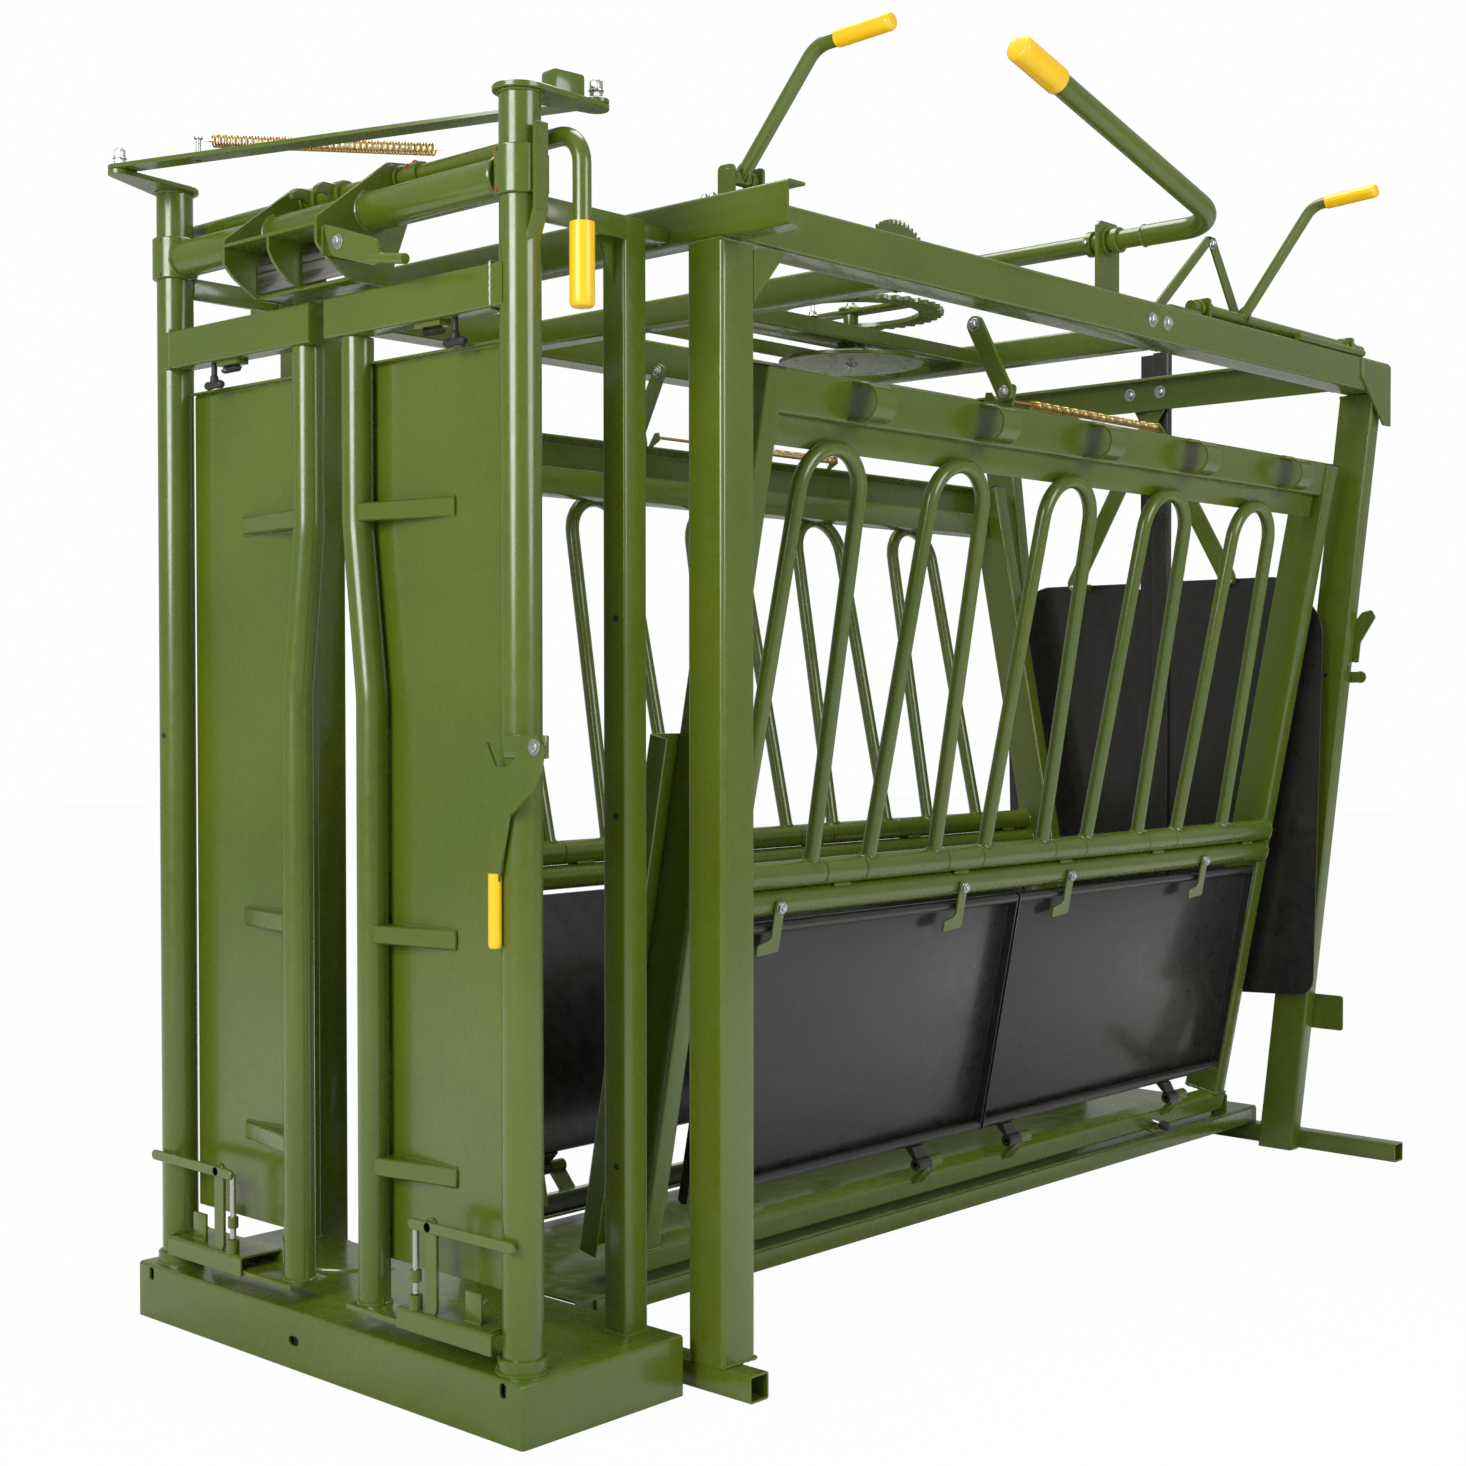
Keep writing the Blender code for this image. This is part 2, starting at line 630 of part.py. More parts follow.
def door_frame(side):
    """Door post with its top lever, rail and slide channel."""
    centre = (side * DOOR_POST_X, DOOR_POST_Y)
    post = pipe("Z", centre, DOOR_POST_R, PIPE_WALL, (PAN_HEIGHT + GAP, DOOR_POST_TOP))
    lever = prism("Z", (DOOR_POST_TOP - WELD, DOOR_POST_TOP + LEVER_PLATE),
                  teardrop(centre, lever_eye(side), LEVER_HUB_R, LEVER_EYE_R))
    rail = box_tube("X", DOOR_RAIL_Y, DOOR_RAIL_Z, TUBE_WALL,
                    across(side, DOOR_RAIL_INNER, DOOR_POST_X))
    inner_y = (SLIDE_Y[0] + SLIDE_WALL, SLIDE_Y[1] - SLIDE_WALL)
    web = SLIDE_Z[1] - SLIDE_WALL
    slide = prism("X", across(side, SLIDE_INNER, DOOR_POST_X),
                  [(SLIDE_Y[0], SLIDE_Z[0]), (SLIDE_Y[0], SLIDE_Z[1]), (SLIDE_Y[1], SLIDE_Z[1]),
                   (SLIDE_Y[1], SLIDE_Z[0]), (inner_y[1], SLIDE_Z[0]), (inner_y[1], web),
                   (inner_y[0], web), (inner_y[0], SLIDE_Z[0])])
    pivot = (side * LOCK_PIVOT[0], LOCK_PIVOT[1])
    lug_y = (SLIDE_Y[0] + LOCK_PLATE + GAP, SLIDE_Y[0] + 2 * LOCK_PLATE)
    lug = prism("Y", lug_y, rectangle((pivot[0] - LOCK_LUG, pivot[0] + LOCK_LUG),
                                      (SLIDE_Z[1] - WELD, pivot[1] + LOCK_LUG)),
                bore(pivot, LOCK_PIN_R))
    socket = round_bar("Z", (side * LOCK_INNER[0], SLIDE_Y[0] + SOCKET_R), SOCKET_R,
                       (SLIDE_Z[1] - WELD, SOCKET_TOP))
    pieces = [post, lever, rail, slide, lug, socket]
    if side > 0:
        front = DOOR_POST_Y - DOOR_POST_R
        pieces.append(block((DOOR_POST_X - HOOK_EAR, HOOK_PIVOT[0] + HOOK_EAR),
                            (front - HOOK_PLATE, front + PIPE_WALL - WELD),
                            (HOOK_PIVOT[1] - HOOK_EAR, HOOK_PIVOT[1] + HOOK_EAR)))
        pieces.append(round_bar("Y", HOOK_PIVOT, HOOK_PIN_R, (front - 3 * HOOK_PLATE, front)))
    knob_hole = prism("Z", (DOOR_RAIL_Z[0] - WELD, DOOR_RAIL_Z[0] + 2 * TUBE_WALL),
                      bore((side * KNOB_X, sum(DOOR_RAIL_Y) / 2), KNOB_R))
    name_node("door_post_" + SIDES[side], weld(pieces, [knob_hole]), GREEN,
              origin=(*centre, 0))


def door_leaf(side):
    """Neck pipe with its sheet panel, wedges and slide tongue."""
    y = DOOR_POST_Y
    centres = [(NECK_LOW_X, NECK_BOTTOM), (NECK_LOW_X, NECK_BEND_LOW), (NECK_TOP_X, NECK_BEND_TOP),
               (NECK_TOP_X, DOOR_RAIL_Z[0] - GAP)]
    path = [(side * x, y, z) for x, z in centres]
    neck = rod(rounded(path, 0.25, 2), NECK_R, LARGE)
    reveal = 0.010
    outer = DOOR_POST_X - DOOR_POST_R + PIPE_WALL
    outline = [(NECK_LOW_X, LEAF_Z[0]), (outer, LEAF_Z[0]), (outer, LEAF_Z[1]),
               (NECK_TOP_X + reveal, LEAF_Z[1]), (NECK_TOP_X + reveal, NECK_BEND_TOP),
               (NECK_LOW_X, NECK_BEND_LOW)]
    sheet = prism("Y", LEAF_Y, flip(side, outline))
    flange = block(across(side, NECK_TOP_X + reveal, DOOR_POST_X - DOOR_POST_R - PLANE_GAP),
                   (LEAF_Y[1] - LEAF_FLANGE, LEAF_Y[1]),
                   (LEAF_Z[1] - SLIDE_WALL, LEAF_Z[1]))
    pieces = [neck, sheet, flange]
    for z in WEDGE_Z:
        start = NECK_TOP_X if z > NECK_BEND_TOP else NECK_LOW_X
        wedge = [(start, LEAF_Y[0] - WEDGE_DEPTH), (start, LEAF_Y[0] + WELD), (WEDGE_REACH, LEAF_Y[0] + WELD),
                 (WEDGE_REACH, LEAF_Y[0] - PAN_WALL)]
        pieces.append(prism("Z", (z - WEDGE_HEIGHT / 2, z + WEDGE_HEIGHT / 2), flip(side, wedge)))
    inner = SLIDE_WALL + GAP
    pieces.append(block(across(side, NECK_LOW_X - NECK_R, TONGUE_REACH),
                        (SLIDE_Y[0] + inner, SLIDE_Y[1] - inner),
                        (NECK_BOTTOM - TONGUE + WELD, NECK_BOTTOM + WELD)))
    name_node("door_leaf_" + SIDES[side], weld(pieces), GREEN)


def rail_knob(side):
    """A pull knob through the underside of a door's rail."""
    centre = (side * KNOB_X, sum(DOOR_RAIL_Y) / 2)
    head = DOOR_RAIL_Z[0] + TUBE_WALL + KNOB_TRAVEL + WELD
    stem = round_bar("Z", centre, KNOB_R, (KNOB_Z, head + WELD))
    washer = round_bar("Z", centre, 2 * KNOB_R, (head, head + 2 * WELD))
    bar = round_bar("X", (centre[1], KNOB_Z), 1.5 * KNOB_R,
                    (centre[0] - KNOB_BAR / 2, centre[0] + KNOB_BAR / 2))
    name_node("rail_knob_" + SIDES[side], weld([stem, washer, bar]), DARK)


def lock_lever(side):
    """A lever with its pin above the slide's socket."""
    y = (SLIDE_Y[0], SLIDE_Y[0] + LOCK_PLATE)
    pivot, outer, inner = ((side * x, z) for x, z in (LOCK_PIVOT, LOCK_OUTER, LOCK_INNER))
    arm_out = prism("Y", y, capsule(pivot, outer, LOCK_WIDTH / 2))
    arm_in = prism("Y", y, capsule(pivot, inner, LOCK_WIDTH / 2))
    pivot_pin = round_bar("Y", pivot, LOCK_PIN_R, (y[1] - WELD, SLIDE_Y[0] + 2.5 * LOCK_PLATE))
    pin = round_bar("Z", (inner[0], SLIDE_Y[0] + SOCKET_R), LOCK_PIN_R, (SOCKET_TOP + GAP, inner[1]))
    name_node("lock_lever_" + SIDES[side], weld([arm_out, arm_in, pivot_pin, pin]), GREEN,
              origin=(pivot[0], y[0], pivot[1]))


def door_link():
    """The bar that makes both doors open together, above the two levers."""
    low = DOOR_POST_TOP + LEVER_PLATE + GAP
    left, right = lever_eye(-1), lever_eye(1)
    bar = prism("Z", (low, low + LINK_PLATE), capsule(left, right, LINK_WIDTH / 2))
    pieces = [bar]
    for centre in (left, right):
        pieces.append(round_bar("Z", centre, LINK_BOLT_R, (low + WELD, low + 2 * LINK_PLATE)))
    hook = rod([(SPRING_START[0], SPRING_START[1], low + WELD), SPRING_START], LINK_BOLT_R / 2, 8)
    name_node("door_link_bar", weld(pieces + [hook]), GREEN, origin=(*left, low))


def door_spring():
    """A close coil from the link bar towards the latch shaft."""
    start, end = Vector(SPRING_START), Vector(SPRING_END)
    along = (end - start).normalized()
    hooked = start + along * (LINK_BOLT_R / 2 + SPRING_WIRE + GAP)
    start = start + along * (LINK_BOLT_R / 2 + SPRING_R)
    frame = along.to_track_quat("Z", "Y")
    length = (end - start).length
    count = SPRING_TURNS * SPRING_STEPS
    points = [tuple(hooked)]
    for i in range(count + 1):
        angle = 2 * math.pi * i / SPRING_STEPS
        local = Vector((SPRING_R * math.cos(angle), SPRING_R * math.sin(angle), length * i / count))
        points.append(tuple(start + frame @ local))
    pitch = length / SPRING_TURNS
    print("door_spring least gap to itself", round(pitch - 2 * SPRING_WIRE, 4))
    name_node("door_spring", rod(points, SPRING_WIRE, 4), BRASS)


def hook_lever():
    """The hook with a long hand grip on the right door post."""
    front = DOOR_POST_Y - DOOR_POST_R - HOOK_PLATE - GAP
    y = (front - HOOK_PLATE, front)
    stem_low = HOOK_GRIP_LOW + 0.11
    outline = [(0.493, 1.202), (0.483, 1.105), (0.500, 1.073), (HOOK_GRIP_X - 0.011, stem_low),
               (HOOK_GRIP_X + 0.011, stem_low), (0.550, 1.073), (0.605, 1.112), (0.640, 1.185),
               (0.622, 1.215), (0.600, 1.205), (0.547, 1.157), (0.517, 1.157)]
    plate = prism("Y", y, outline, bore(HOOK_PIVOT, HOOK_PIN_R))
    middle = (y[0] + y[1]) / 2
    grip = rod([(HOOK_GRIP_X, middle, HOOK_GRIP_LOW + 0.145), (HOOK_GRIP_X, middle, HOOK_GRIP_LOW)], 0.012)
    name_node("hook_lever", weld([plate, grip]), GREEN, origin=(HOOK_PIVOT[0], front, HOOK_PIVOT[1]))


# Main frame
RAIL_X = (FRONT_POST_X - FRONT_POST / 2, FRONT_POST_X + FRONT_POST / 2)
RAIL_Z = (FRONT_POST_TOP + GAP, FRONT_POST_TOP + GAP + RAIL)
RAIL_START = CHANNEL_Y + CHANNEL_DEPTH + GAP
CHANNEL_TOP = FRONT_POST_TOP + GAP + CHANNEL_HEIGHT


def front_foot_tube():
    tube = box_tube("X", (FRONT_FOOT_Y, FRONT_FOOT_Y + FOOT), (0, FOOT), FOOT_WALL,
                    (-FRONT_FOOT_HALF, FRONT_FOOT_HALF))
    name_node("front_foot_tube", tube, GREEN)


def rear_foot_tube():
    tube = box_tube("X", (REAR_FOOT_Y, REAR_FOOT_Y + FOOT), (0, FOOT), FOOT_WALL,
                    (-REAR_FOOT_HALF, REAR_FOOT_HALF))
    name_node("rear_foot_tube", tube, GREEN)


def front_post(side):
    half = FRONT_POST / 2
    x = (side * FRONT_POST_X - half, side * FRONT_POST_X + half)
    tube = box_tube("Z", x, (FRONT_POST_Y - half, FRONT_POST_Y + half), POST_WALL,
                    (FOOT + GAP, FRONT_POST_TOP))
    name_node("front_post_" + SIDES[side], tube, GREEN)


def front_channel():
    """The channel across the tops of the front posts, its legs to the back."""
    low, high = FRONT_POST_TOP + GAP, CHANNEL_TOP
    back = CHANNEL_Y + CHANNEL_DEPTH
    face = CHANNEL_Y + CHANNEL_WALL
    channel = prism("X", (-CHANNEL_HALF, CHANNEL_HALF),
                    [(CHANNEL_Y, low), (back, low), (back, low + CHANNEL_WALL), (face, low + CHANNEL_WALL),
                     (face, high - CHANNEL_WALL), (back, high - CHANNEL_WALL), (back, high), (CHANNEL_Y, high)])
    ear_y = LEVER_Y - LEVER_R - EAR_GRIP - EAR
    ear = prism("Y", (ear_y, ear_y + EAR), capsule((LEVER_X, CHANNEL_TOP), (LEVER_X, LEVER_Z), EAR_GRIP),
                bore((LEVER_X, LEVER_Z), LEVER_R))
    hollow = block((LEVER_X - 2 * EAR_GRIP, LEVER_X + 2 * EAR_GRIP), (ear_y - WELD, ear_y + EAR + WELD),
                   (CHANNEL_TOP - CHANNEL_HEIGHT / 2, CHANNEL_TOP - CHANNEL_WALL / 2))
    name_node("front_channel", weld([channel, weld([ear], [hollow])]), GREEN)


def top_rail(side):
    x = across(side, *RAIL_X)
    tube = box_tube("Y", x, RAIL_Z, POST_WALL, (RAIL_START, RAIL_END))
    gusset_low = RAIL_Z[0] - 0.085
    gusset = prism("X", across(side, RAIL_X[1] - WELD, RAIL_X[1] + GUSSET),
                   [(2.96, RAIL_Z[0]), (2.96, RAIL_Z[1] - 0.01), (RAIL_END, RAIL_Z[1] - 0.01),
                    (RAIL_END, gusset_low), (RAIL_END - 0.04, gusset_low)])
    bearing_top = SHAFT_Z + BEARING_HALF
    bearing = prism("X", across(side, BEARING_X - BEARING / 2, BEARING_X + BEARING / 2),
                    [(SHAFT_Y - BEARING_HALF, RAIL_Z[1] - WELD), (SHAFT_Y + BEARING_HALF, RAIL_Z[1] - WELD),
                     (SHAFT_Y + BEARING_HALF, bearing_top), (SHAFT_Y - BEARING_HALF, bearing_top)],
                    bore((SHAFT_Y, SHAFT_Z), SHAFT_R, LARGE))
    pieces = [tube, gusset, bearing]
    if side > 0:
        ear_y = LEVER_Y + LEVER_R + EAR_GRIP
        pieces.append(rail_ear(ear_y, (LEVER_X, LEVER_Z), LEVER_R))
        for y in TAIL_EARS_Y:
            pieces.append(rail_ear(y, (TAIL_SHAFT_X, LEVER_Z), TAIL_SHAFT_R))
        for foot in BRACE_FEET:
            pieces.append(prism("X", (BRACE_X, BRACE_X + EAR),
                                [(foot - 0.022, RAIL_Z[1] - WELD), (foot + 0.022, RAIL_Z[1] - WELD),
                                 (BRACE_APEX[0] + 0.018, BRACE_APEX[1]),
                                 (BRACE_APEX[0] - 0.018, BRACE_APEX[1])]))
    name_node("top_rail_" + SIDES[side], weld(pieces), GREEN)


def rail_ear(y, centre, hole):
    """An upright ear on the rail's top with a hole along Y."""
    half = hole + EAR_GRIP / 2
    outline = [(centre[0] - half, RAIL_Z[1] - WELD), (centre[0] + half, RAIL_Z[1] - WELD),
               (centre[0] + half, centre[1] + half), (centre[0] - half, centre[1] + half)]
    return prism("Y", (y, y + EAR), outline, bore(centre, hole))


def rear_post(side):
    """A box tube that leans out from the floor to the rail."""
    slope = (RAIL_X[1] - 2 * WELD - REAR_POST_LOW_X) / FRONT_POST_TOP
    tube = box_tube("Z", (REAR_POST_LOW_X - REAR_POST_WIDTH, REAR_POST_LOW_X), REAR_POST_Y, POST_WALL,
                    (0, FRONT_POST_TOP))
    shear = Matrix.Identity(4)
    shear[0][2] = slope
    tube.data.transform(shear)
    if side < 0:
        tube.data.transform(Matrix.Scale(-1, 4, (1, 0, 0)))
        tube.data.flip_normals()
    name_node("rear_post_" + SIDES[side], tube, GREEN)


def rear_cross_beam():
    """An angle between the rails with the two pins of the tail gate."""
    half = RAIL_X[0] - GAP
    web = (BEAM_Y, BEAM_Y + BEAM_WALL)
    upright = block((-half, half), web, RAIL_Z)
    ledge = block((-half, half), (BEAM_Y - BEAM_DEPTH, BEAM_Y + WELD), (RAIL_Z[1] - BEAM_WALL, RAIL_Z[1]))
    pieces = [upright, ledge]
    for side in SIDES:
        reach = ARM_PLANES[side][1] + 2 * GAP
        pieces.append(round_bar("Y", (-side * GATE_PIVOT_X, GATE_PIVOT_Z), GATE_PIN_R, (web[1] - WELD, reach)))
    name_node("rear_cross_beam", weld(pieces), GREEN)


def gear_carrier():
    """Two cross members with the plate between them that carries the ring gear's spindle."""
    half = RAIL_X[0] - GAP
    low = RAIL_Z[0]
    pieces = [block((-0.050, 0.050), (CROSS_Y[0] + WELD, CROSS_Y[1] + WELD), (low + 0.020, low + 0.030))]
    for y in CROSS_Y:
        back, wall = y + CROSS_DEPTH, CHANNEL_WALL
        top = low + CROSS_HEIGHT
        pieces.append(prism("X", (-half, half),
                            [(y, low), (back, low), (back, low + wall), (y + wall, low + wall),
                             (y + wall, top - wall), (back, top - wall), (back, top), (y, top)]))
    hole = prism("Z", (low, low + CROSS_HEIGHT), bore((0, GEAR_Y), SPINDLE_R))
    name_node("gear_carrier", weld(pieces, [hole]), GREEN)


def floor_tray():
    """Deck with turned down edges and the hinge lugs of both sides."""
    edge = DECK_HALF - DECK_WALL
    under = DECK_TOP - DECK_WALL
    low = FOOT + GAP
    deck = prism("Y", DECK_Y, [(-DECK_HALF, low), (-DECK_HALF, DECK_TOP), (DECK_HALF, DECK_TOP),
                               (DECK_HALF, low), (edge, low), (edge, under), (-edge, under), (-edge, low)])
    pieces = [deck]
    for side in SIDES:
        pin = (side * SIDE_PIVOT_X, SIDE_PIVOT_Z)
        for y in SIDE_LUG_Y:
            outline = [(pin[0] - 0.024, DECK_TOP - WELD), (pin[0] + 0.024, DECK_TOP - WELD),
                       (pin[0] + 0.024, pin[1] + 0.024), (pin[0] - 0.024, pin[1] + 0.024)]
            pieces.append(prism("Y", (y, y + SIDE_LUG), outline, bore(pin, SIDE_PIN_R)))
    name_node("floor_tray", weld(pieces), GREEN)


# Squeeze sides
def bar_centres():
    return [BAR_FIRST_Y + i * BAR_PITCH for i in range(BAR_COUNT)]


def lean_empty(side):
    """The hinge line of a side, leaned outwards."""
    empty = bpy.data.objects.new("side_hinge_" + SIDES[side], None)
    empty.location = (side * SIDE_PIVOT_X, 0, SIDE_PIVOT_Z)
    empty.rotation_euler = (0, side * math.radians(SIDE_LEAN), 0)
    CRUSH.objects.link(empty)
    return empty


def channel_loop(x, z, wall):
    """A channel outline with its web outside and its legs to the middle of the crush."""
    return [(x[1], z[0]), (x[1], z[1]), (x[0], z[1]), (x[0], z[1] - wall), (x[1] - wall, z[1] - wall),
            (x[1] - wall, z[0] + wall), (x[0], z[0] + wall), (x[0], z[0])]


def hood(side, y):
    """A strap loop that stands out from the top beam."""
    inner, top, low = TOP_BEAM_X[1] - WELD, TOP_BEAM_Z[1] - 0.004, TOP_BEAM_Z[0] + 0.006
    reach = TOP_BEAM_X[1] + HOOD_REACH
    bend = rounded([(inner, low), (reach, low + 0.008), (reach, top), (inner, top)], 0.026, 2)
    outer = [(inner, low), *bend[1:-1], (inner, top)]
    hole = inset(outer, HOOD_WALL)
    half = HOOD_WIDTH / 2
    return prism("Y", (y - half, y + half), flip(side, outer), flip(side, hole))


def side_frame(side, empty):
    """Sill, posts, top beam, pipes, strap hoods, shield and the fixed halves of the hinges."""
    front = SIDE_POST_Y[0] + SIDE_POST_DEPTH - WELD
    back = SIDE_POST_Y[1] + WELD
    pieces = [prism("Y", SIDE_Y, flip(side, channel_loop(SILL_X, SILL_Z, CHANNEL_WALL)))]
    for y, reach in ((SIDE_Y[0], SIDE_LUG_Y[0]), (SIDE_Y[1] - CHANNEL_WALL, SIDE_LUG_Y[1] + SIDE_LUG)):
        pieces.append(block(across(side, *SILL_X), (y, y + CHANNEL_WALL), SILL_Z))
        pieces.append(round_bar("Y", (0, 0), SIDE_PIN_R, (min(y, reach) - GAP, max(y, reach) + GAP)))
    for y in SIDE_POST_Y:
        pieces.append(box_tube("Z", across(side, *SIDE_POST_X), (y, y + SIDE_POST_DEPTH), POST_WALL,
                               (SILL_Z[1] - WELD, SIDE_POST_TOP)))
    pieces.append(prism("Y", (front, back), flip(side, channel_loop(TOP_BEAM_X, TOP_BEAM_Z, CHANNEL_WALL))))
    pieces.append(block(across(side, TOP_BEAM_X[0], BAR_X - BAR_R - WELD / 2), (front, back),
                        (STOP_STRIP_Z, TOP_BEAM_Z[0] + WELD)))
    sleeve_centre = (side * BAR_X, BAR_AXIS_Z)
    pieces.append(round_bar("Y", sleeve_centre, SLEEVE_SHAFT_R, (front, back), LARGE))
    half = SLEEVE_LENGTH / 2 + PLANE_GAP
    starts = [front] + [y + half for y in bar_centres()]
    ends = [y - half for y in bar_centres()] + [back]
    for start, end in zip(starts, ends):
        pieces.append(round_bar("Y", sleeve_centre, SLEEVE_R, (start, end), LARGE))
    low_centre = (side * BAR_X, BAR_AXIS_Z - 2 * SLEEVE_R - RUNNING)
    low_pipe = pipe("Y", low_centre, SLEEVE_R, PIPE_WALL, (front, back))
    drain = round_bar("X", (front + 0.06, low_centre[1]), DRAIN_R, across(side, -0.060, BAR_X - 0.010), HEX)
    pieces.append(weld([low_pipe], [drain]))
    for y in HOOD_Y:
        pieces.append(hood(side, y))
    web = SIDE_POST_X[0]
    flange_x = web + SHIELD_FLANGE
    shield = [(web - SHIELD_WALL + WELD, SHIELD_Y[1]), (web + WELD, SHIELD_Y[1]),
              (web + WELD, SHIELD_Y[0] + SHIELD_WALL), (flange_x, SHIELD_Y[0] + SHIELD_WALL),
              (flange_x, SHIELD_Y[0]), (web - SHIELD_WALL + WELD, SHIELD_Y[0])]
    pieces.append(prism("Z", SHIELD_Z, flip(side, shield)))
    stud_base = BAR_X + SLEEVE_R - 2 * WELD
    plate_out = BAR_X + SLEEVE_R + GAP + CATCH_PLATE + GAP
    for pair in CATCH_Y:
        for y in pair:
            centre = (y, low_centre[1] - WELD)
            pieces.append(round_bar("X", centre, CATCH_PIN_R, across(side, stud_base, plate_out + WELD), HEX))
            head = across(side, plate_out, plate_out + 0.008)
            pieces.append(round_bar("X", centre, 1.6 * CATCH_PIN_R, head, HEX))
    for pair in KNUCKLE_Y:
        for y in pair:
            pieces += fixed_knuckle(side, y)
    foot = (side * LINK_ARM_FOOT[0], LINK_ARM_FOOT[1])
    lug_y = LINK_ARM_Y + LINK_ARM + GAP
    pieces.append(prism("Y", (lug_y, lug_y + SIDE_LUG),
                        [(foot[0] - 0.020, TOP_BEAM_Z[1] - WELD), (foot[0] + 0.020, TOP_BEAM_Z[1] - WELD),
                         (foot[0] + 0.020, foot[1] + 0.020), (foot[0] - 0.020, foot[1] + 0.020)],
                        bore(foot, LINK_PIN_R)))
    name_node("side_frame_" + SIDES[side], weld(pieces), GREEN, parent=empty)


def fixed_knuckle(side, y):
    """The frame's half of a panel hinge, with its pin towards the head gate."""
    axis = (side * PANEL_AXIS[0], PANEL_AXIS[1])
    knuckle = round_bar("Y", axis, KNUCKLE_R, (y + GAP, y + KNUCKLE_LENGTH))
    pin = round_bar("Y", axis, KNUCKLE_PIN_R, (y - KNUCKLE_LENGTH, y + WELD), HEX)
    root = SILL_X[1] - CHANNEL_WALL / 2
    outline = [(root, SILL_Z[1] - 0.022), (PANEL_AXIS[0] + 0.004, PANEL_AXIS[1] - 0.010),
               (PANEL_AXIS[0] - 0.004, PANEL_AXIS[1]), (root, SILL_Z[1] - WELD)]
    bracket = prism("Y", (y + GAP + WELD, y + KNUCKLE_LENGTH - WELD), flip(side, outline))
    return [knuckle, pin, bracket]


def drop_bar(side, number, y, empty):
    """An upside down U on its own sleeve."""
    centre = (side * BAR_X, BAR_AXIS_Z)
    half = SLEEVE_LENGTH / 2
    sleeve = round_bar("Y", centre, SLEEVE_R, (y - half, y + half), LARGE)
    hole = prism("Y", (y - half - WELD, y + half + WELD), bore(centre, SLEEVE_SHAFT_R + RUNNING, LARGE))
    foot = BAR_FOOT_SPAN / 2
    spring_z = BAR_APEX_Z - BAR_ARCH_R
    low = BAR_AXIS_Z
    x = side * BAR_X
    path = [(x, y - foot, low)]
    steps = 6
    for i in range(steps + 1):
        angle = math.pi * i / steps
        path.append((x, y - BAR_ARCH_R * math.cos(angle), spring_z + BAR_ARCH_R * math.sin(angle)))
    path.append((x, y + foot, low))
    name = "drop_bar_%s_%d" % (SIDES[side], number)
    bar = weld([sleeve, rod(path, BAR_R, 8)], [hole])
    name_node(name, bar, GREEN, parent=empty, origin=(centre[0], y, centre[1]))


def side_panel(side, number, empty):
    """A black sheet pan with rolled edges, hinged along its foot."""
    y = PANEL_SPANS[number]
    outer = rectangle(y, PANEL_Z)
    rim = prism("X", across(side, *PANEL_X), outer, inset(outer, PANEL_RIM))
    sheet = block(across(side, PANEL_X[0], PANEL_X[0] + PANEL_SHEET),
                  (y[0] + WELD, y[1] - WELD), (PANEL_Z[0] + WELD, PANEL_Z[1] - WELD))
    pieces = [rim, sheet]
    bores = []
    axis = (side * PANEL_AXIS[0], PANEL_AXIS[1])
    for hinge_y in KNUCKLE_Y[number]:
        span = (hinge_y - KNUCKLE_LENGTH, hinge_y - GAP)
        pieces.append(round_bar("Y", axis, KNUCKLE_R, span))
        outline = [(PANEL_X[0] + WELD, PANEL_Z[0] + WELD), (PANEL_X[0] + WELD, PANEL_Z[0] - 0.003),
                   (PANEL_AXIS[0] - 0.006, PANEL_AXIS[1] + 0.004),
                   (PANEL_AXIS[0] + 0.006, PANEL_AXIS[1] + 0.004), (PANEL_X[1] - WELD, PANEL_Z[0] + WELD)]
        pieces.append(prism("Y", (span[0] + WELD, span[1] - WELD), flip(side, outline)))
        bores.append(prism("Y", (span[0] - WELD, span[1] + WELD), bore(axis, KNUCKLE_PIN_R)))
    name = "side_panel_%s_%s" % (SIDES[side], ("front", "rear")[number])
    name_node(name, weld(pieces, bores), BLACK, parent=empty, origin=(axis[0], 0, axis[1]))


def panel_catch(side, number, y, empty):
    """An L that turns on a bolt of the lower pipe and holds a panel shut."""
    z = BAR_AXIS_Z - 2 * SLEEVE_R - RUNNING - WELD
    inner = BAR_X + SLEEVE_R + GAP
    half = CATCH_WIDTH / 2
    outline = [(y - half, z + half), (y + half, z + half), (y + half, z - CATCH_LEG),
               (y - half - CATCH_TOE, z - CATCH_LEG - 0.006), (y - half - CATCH_TOE, z - CATCH_LEG + 0.018),
               (y - half, z - CATCH_LEG + 0.030)]
    plate = prism("X", across(side, inner, inner + CATCH_PLATE), outline,
                  bore((y, z), CATCH_PIN_R))
    name = "panel_catch_%s_%d" % (SIDES[side], number)
    name_node(name, plate, GREEN, parent=empty, origin=(0, y, z))


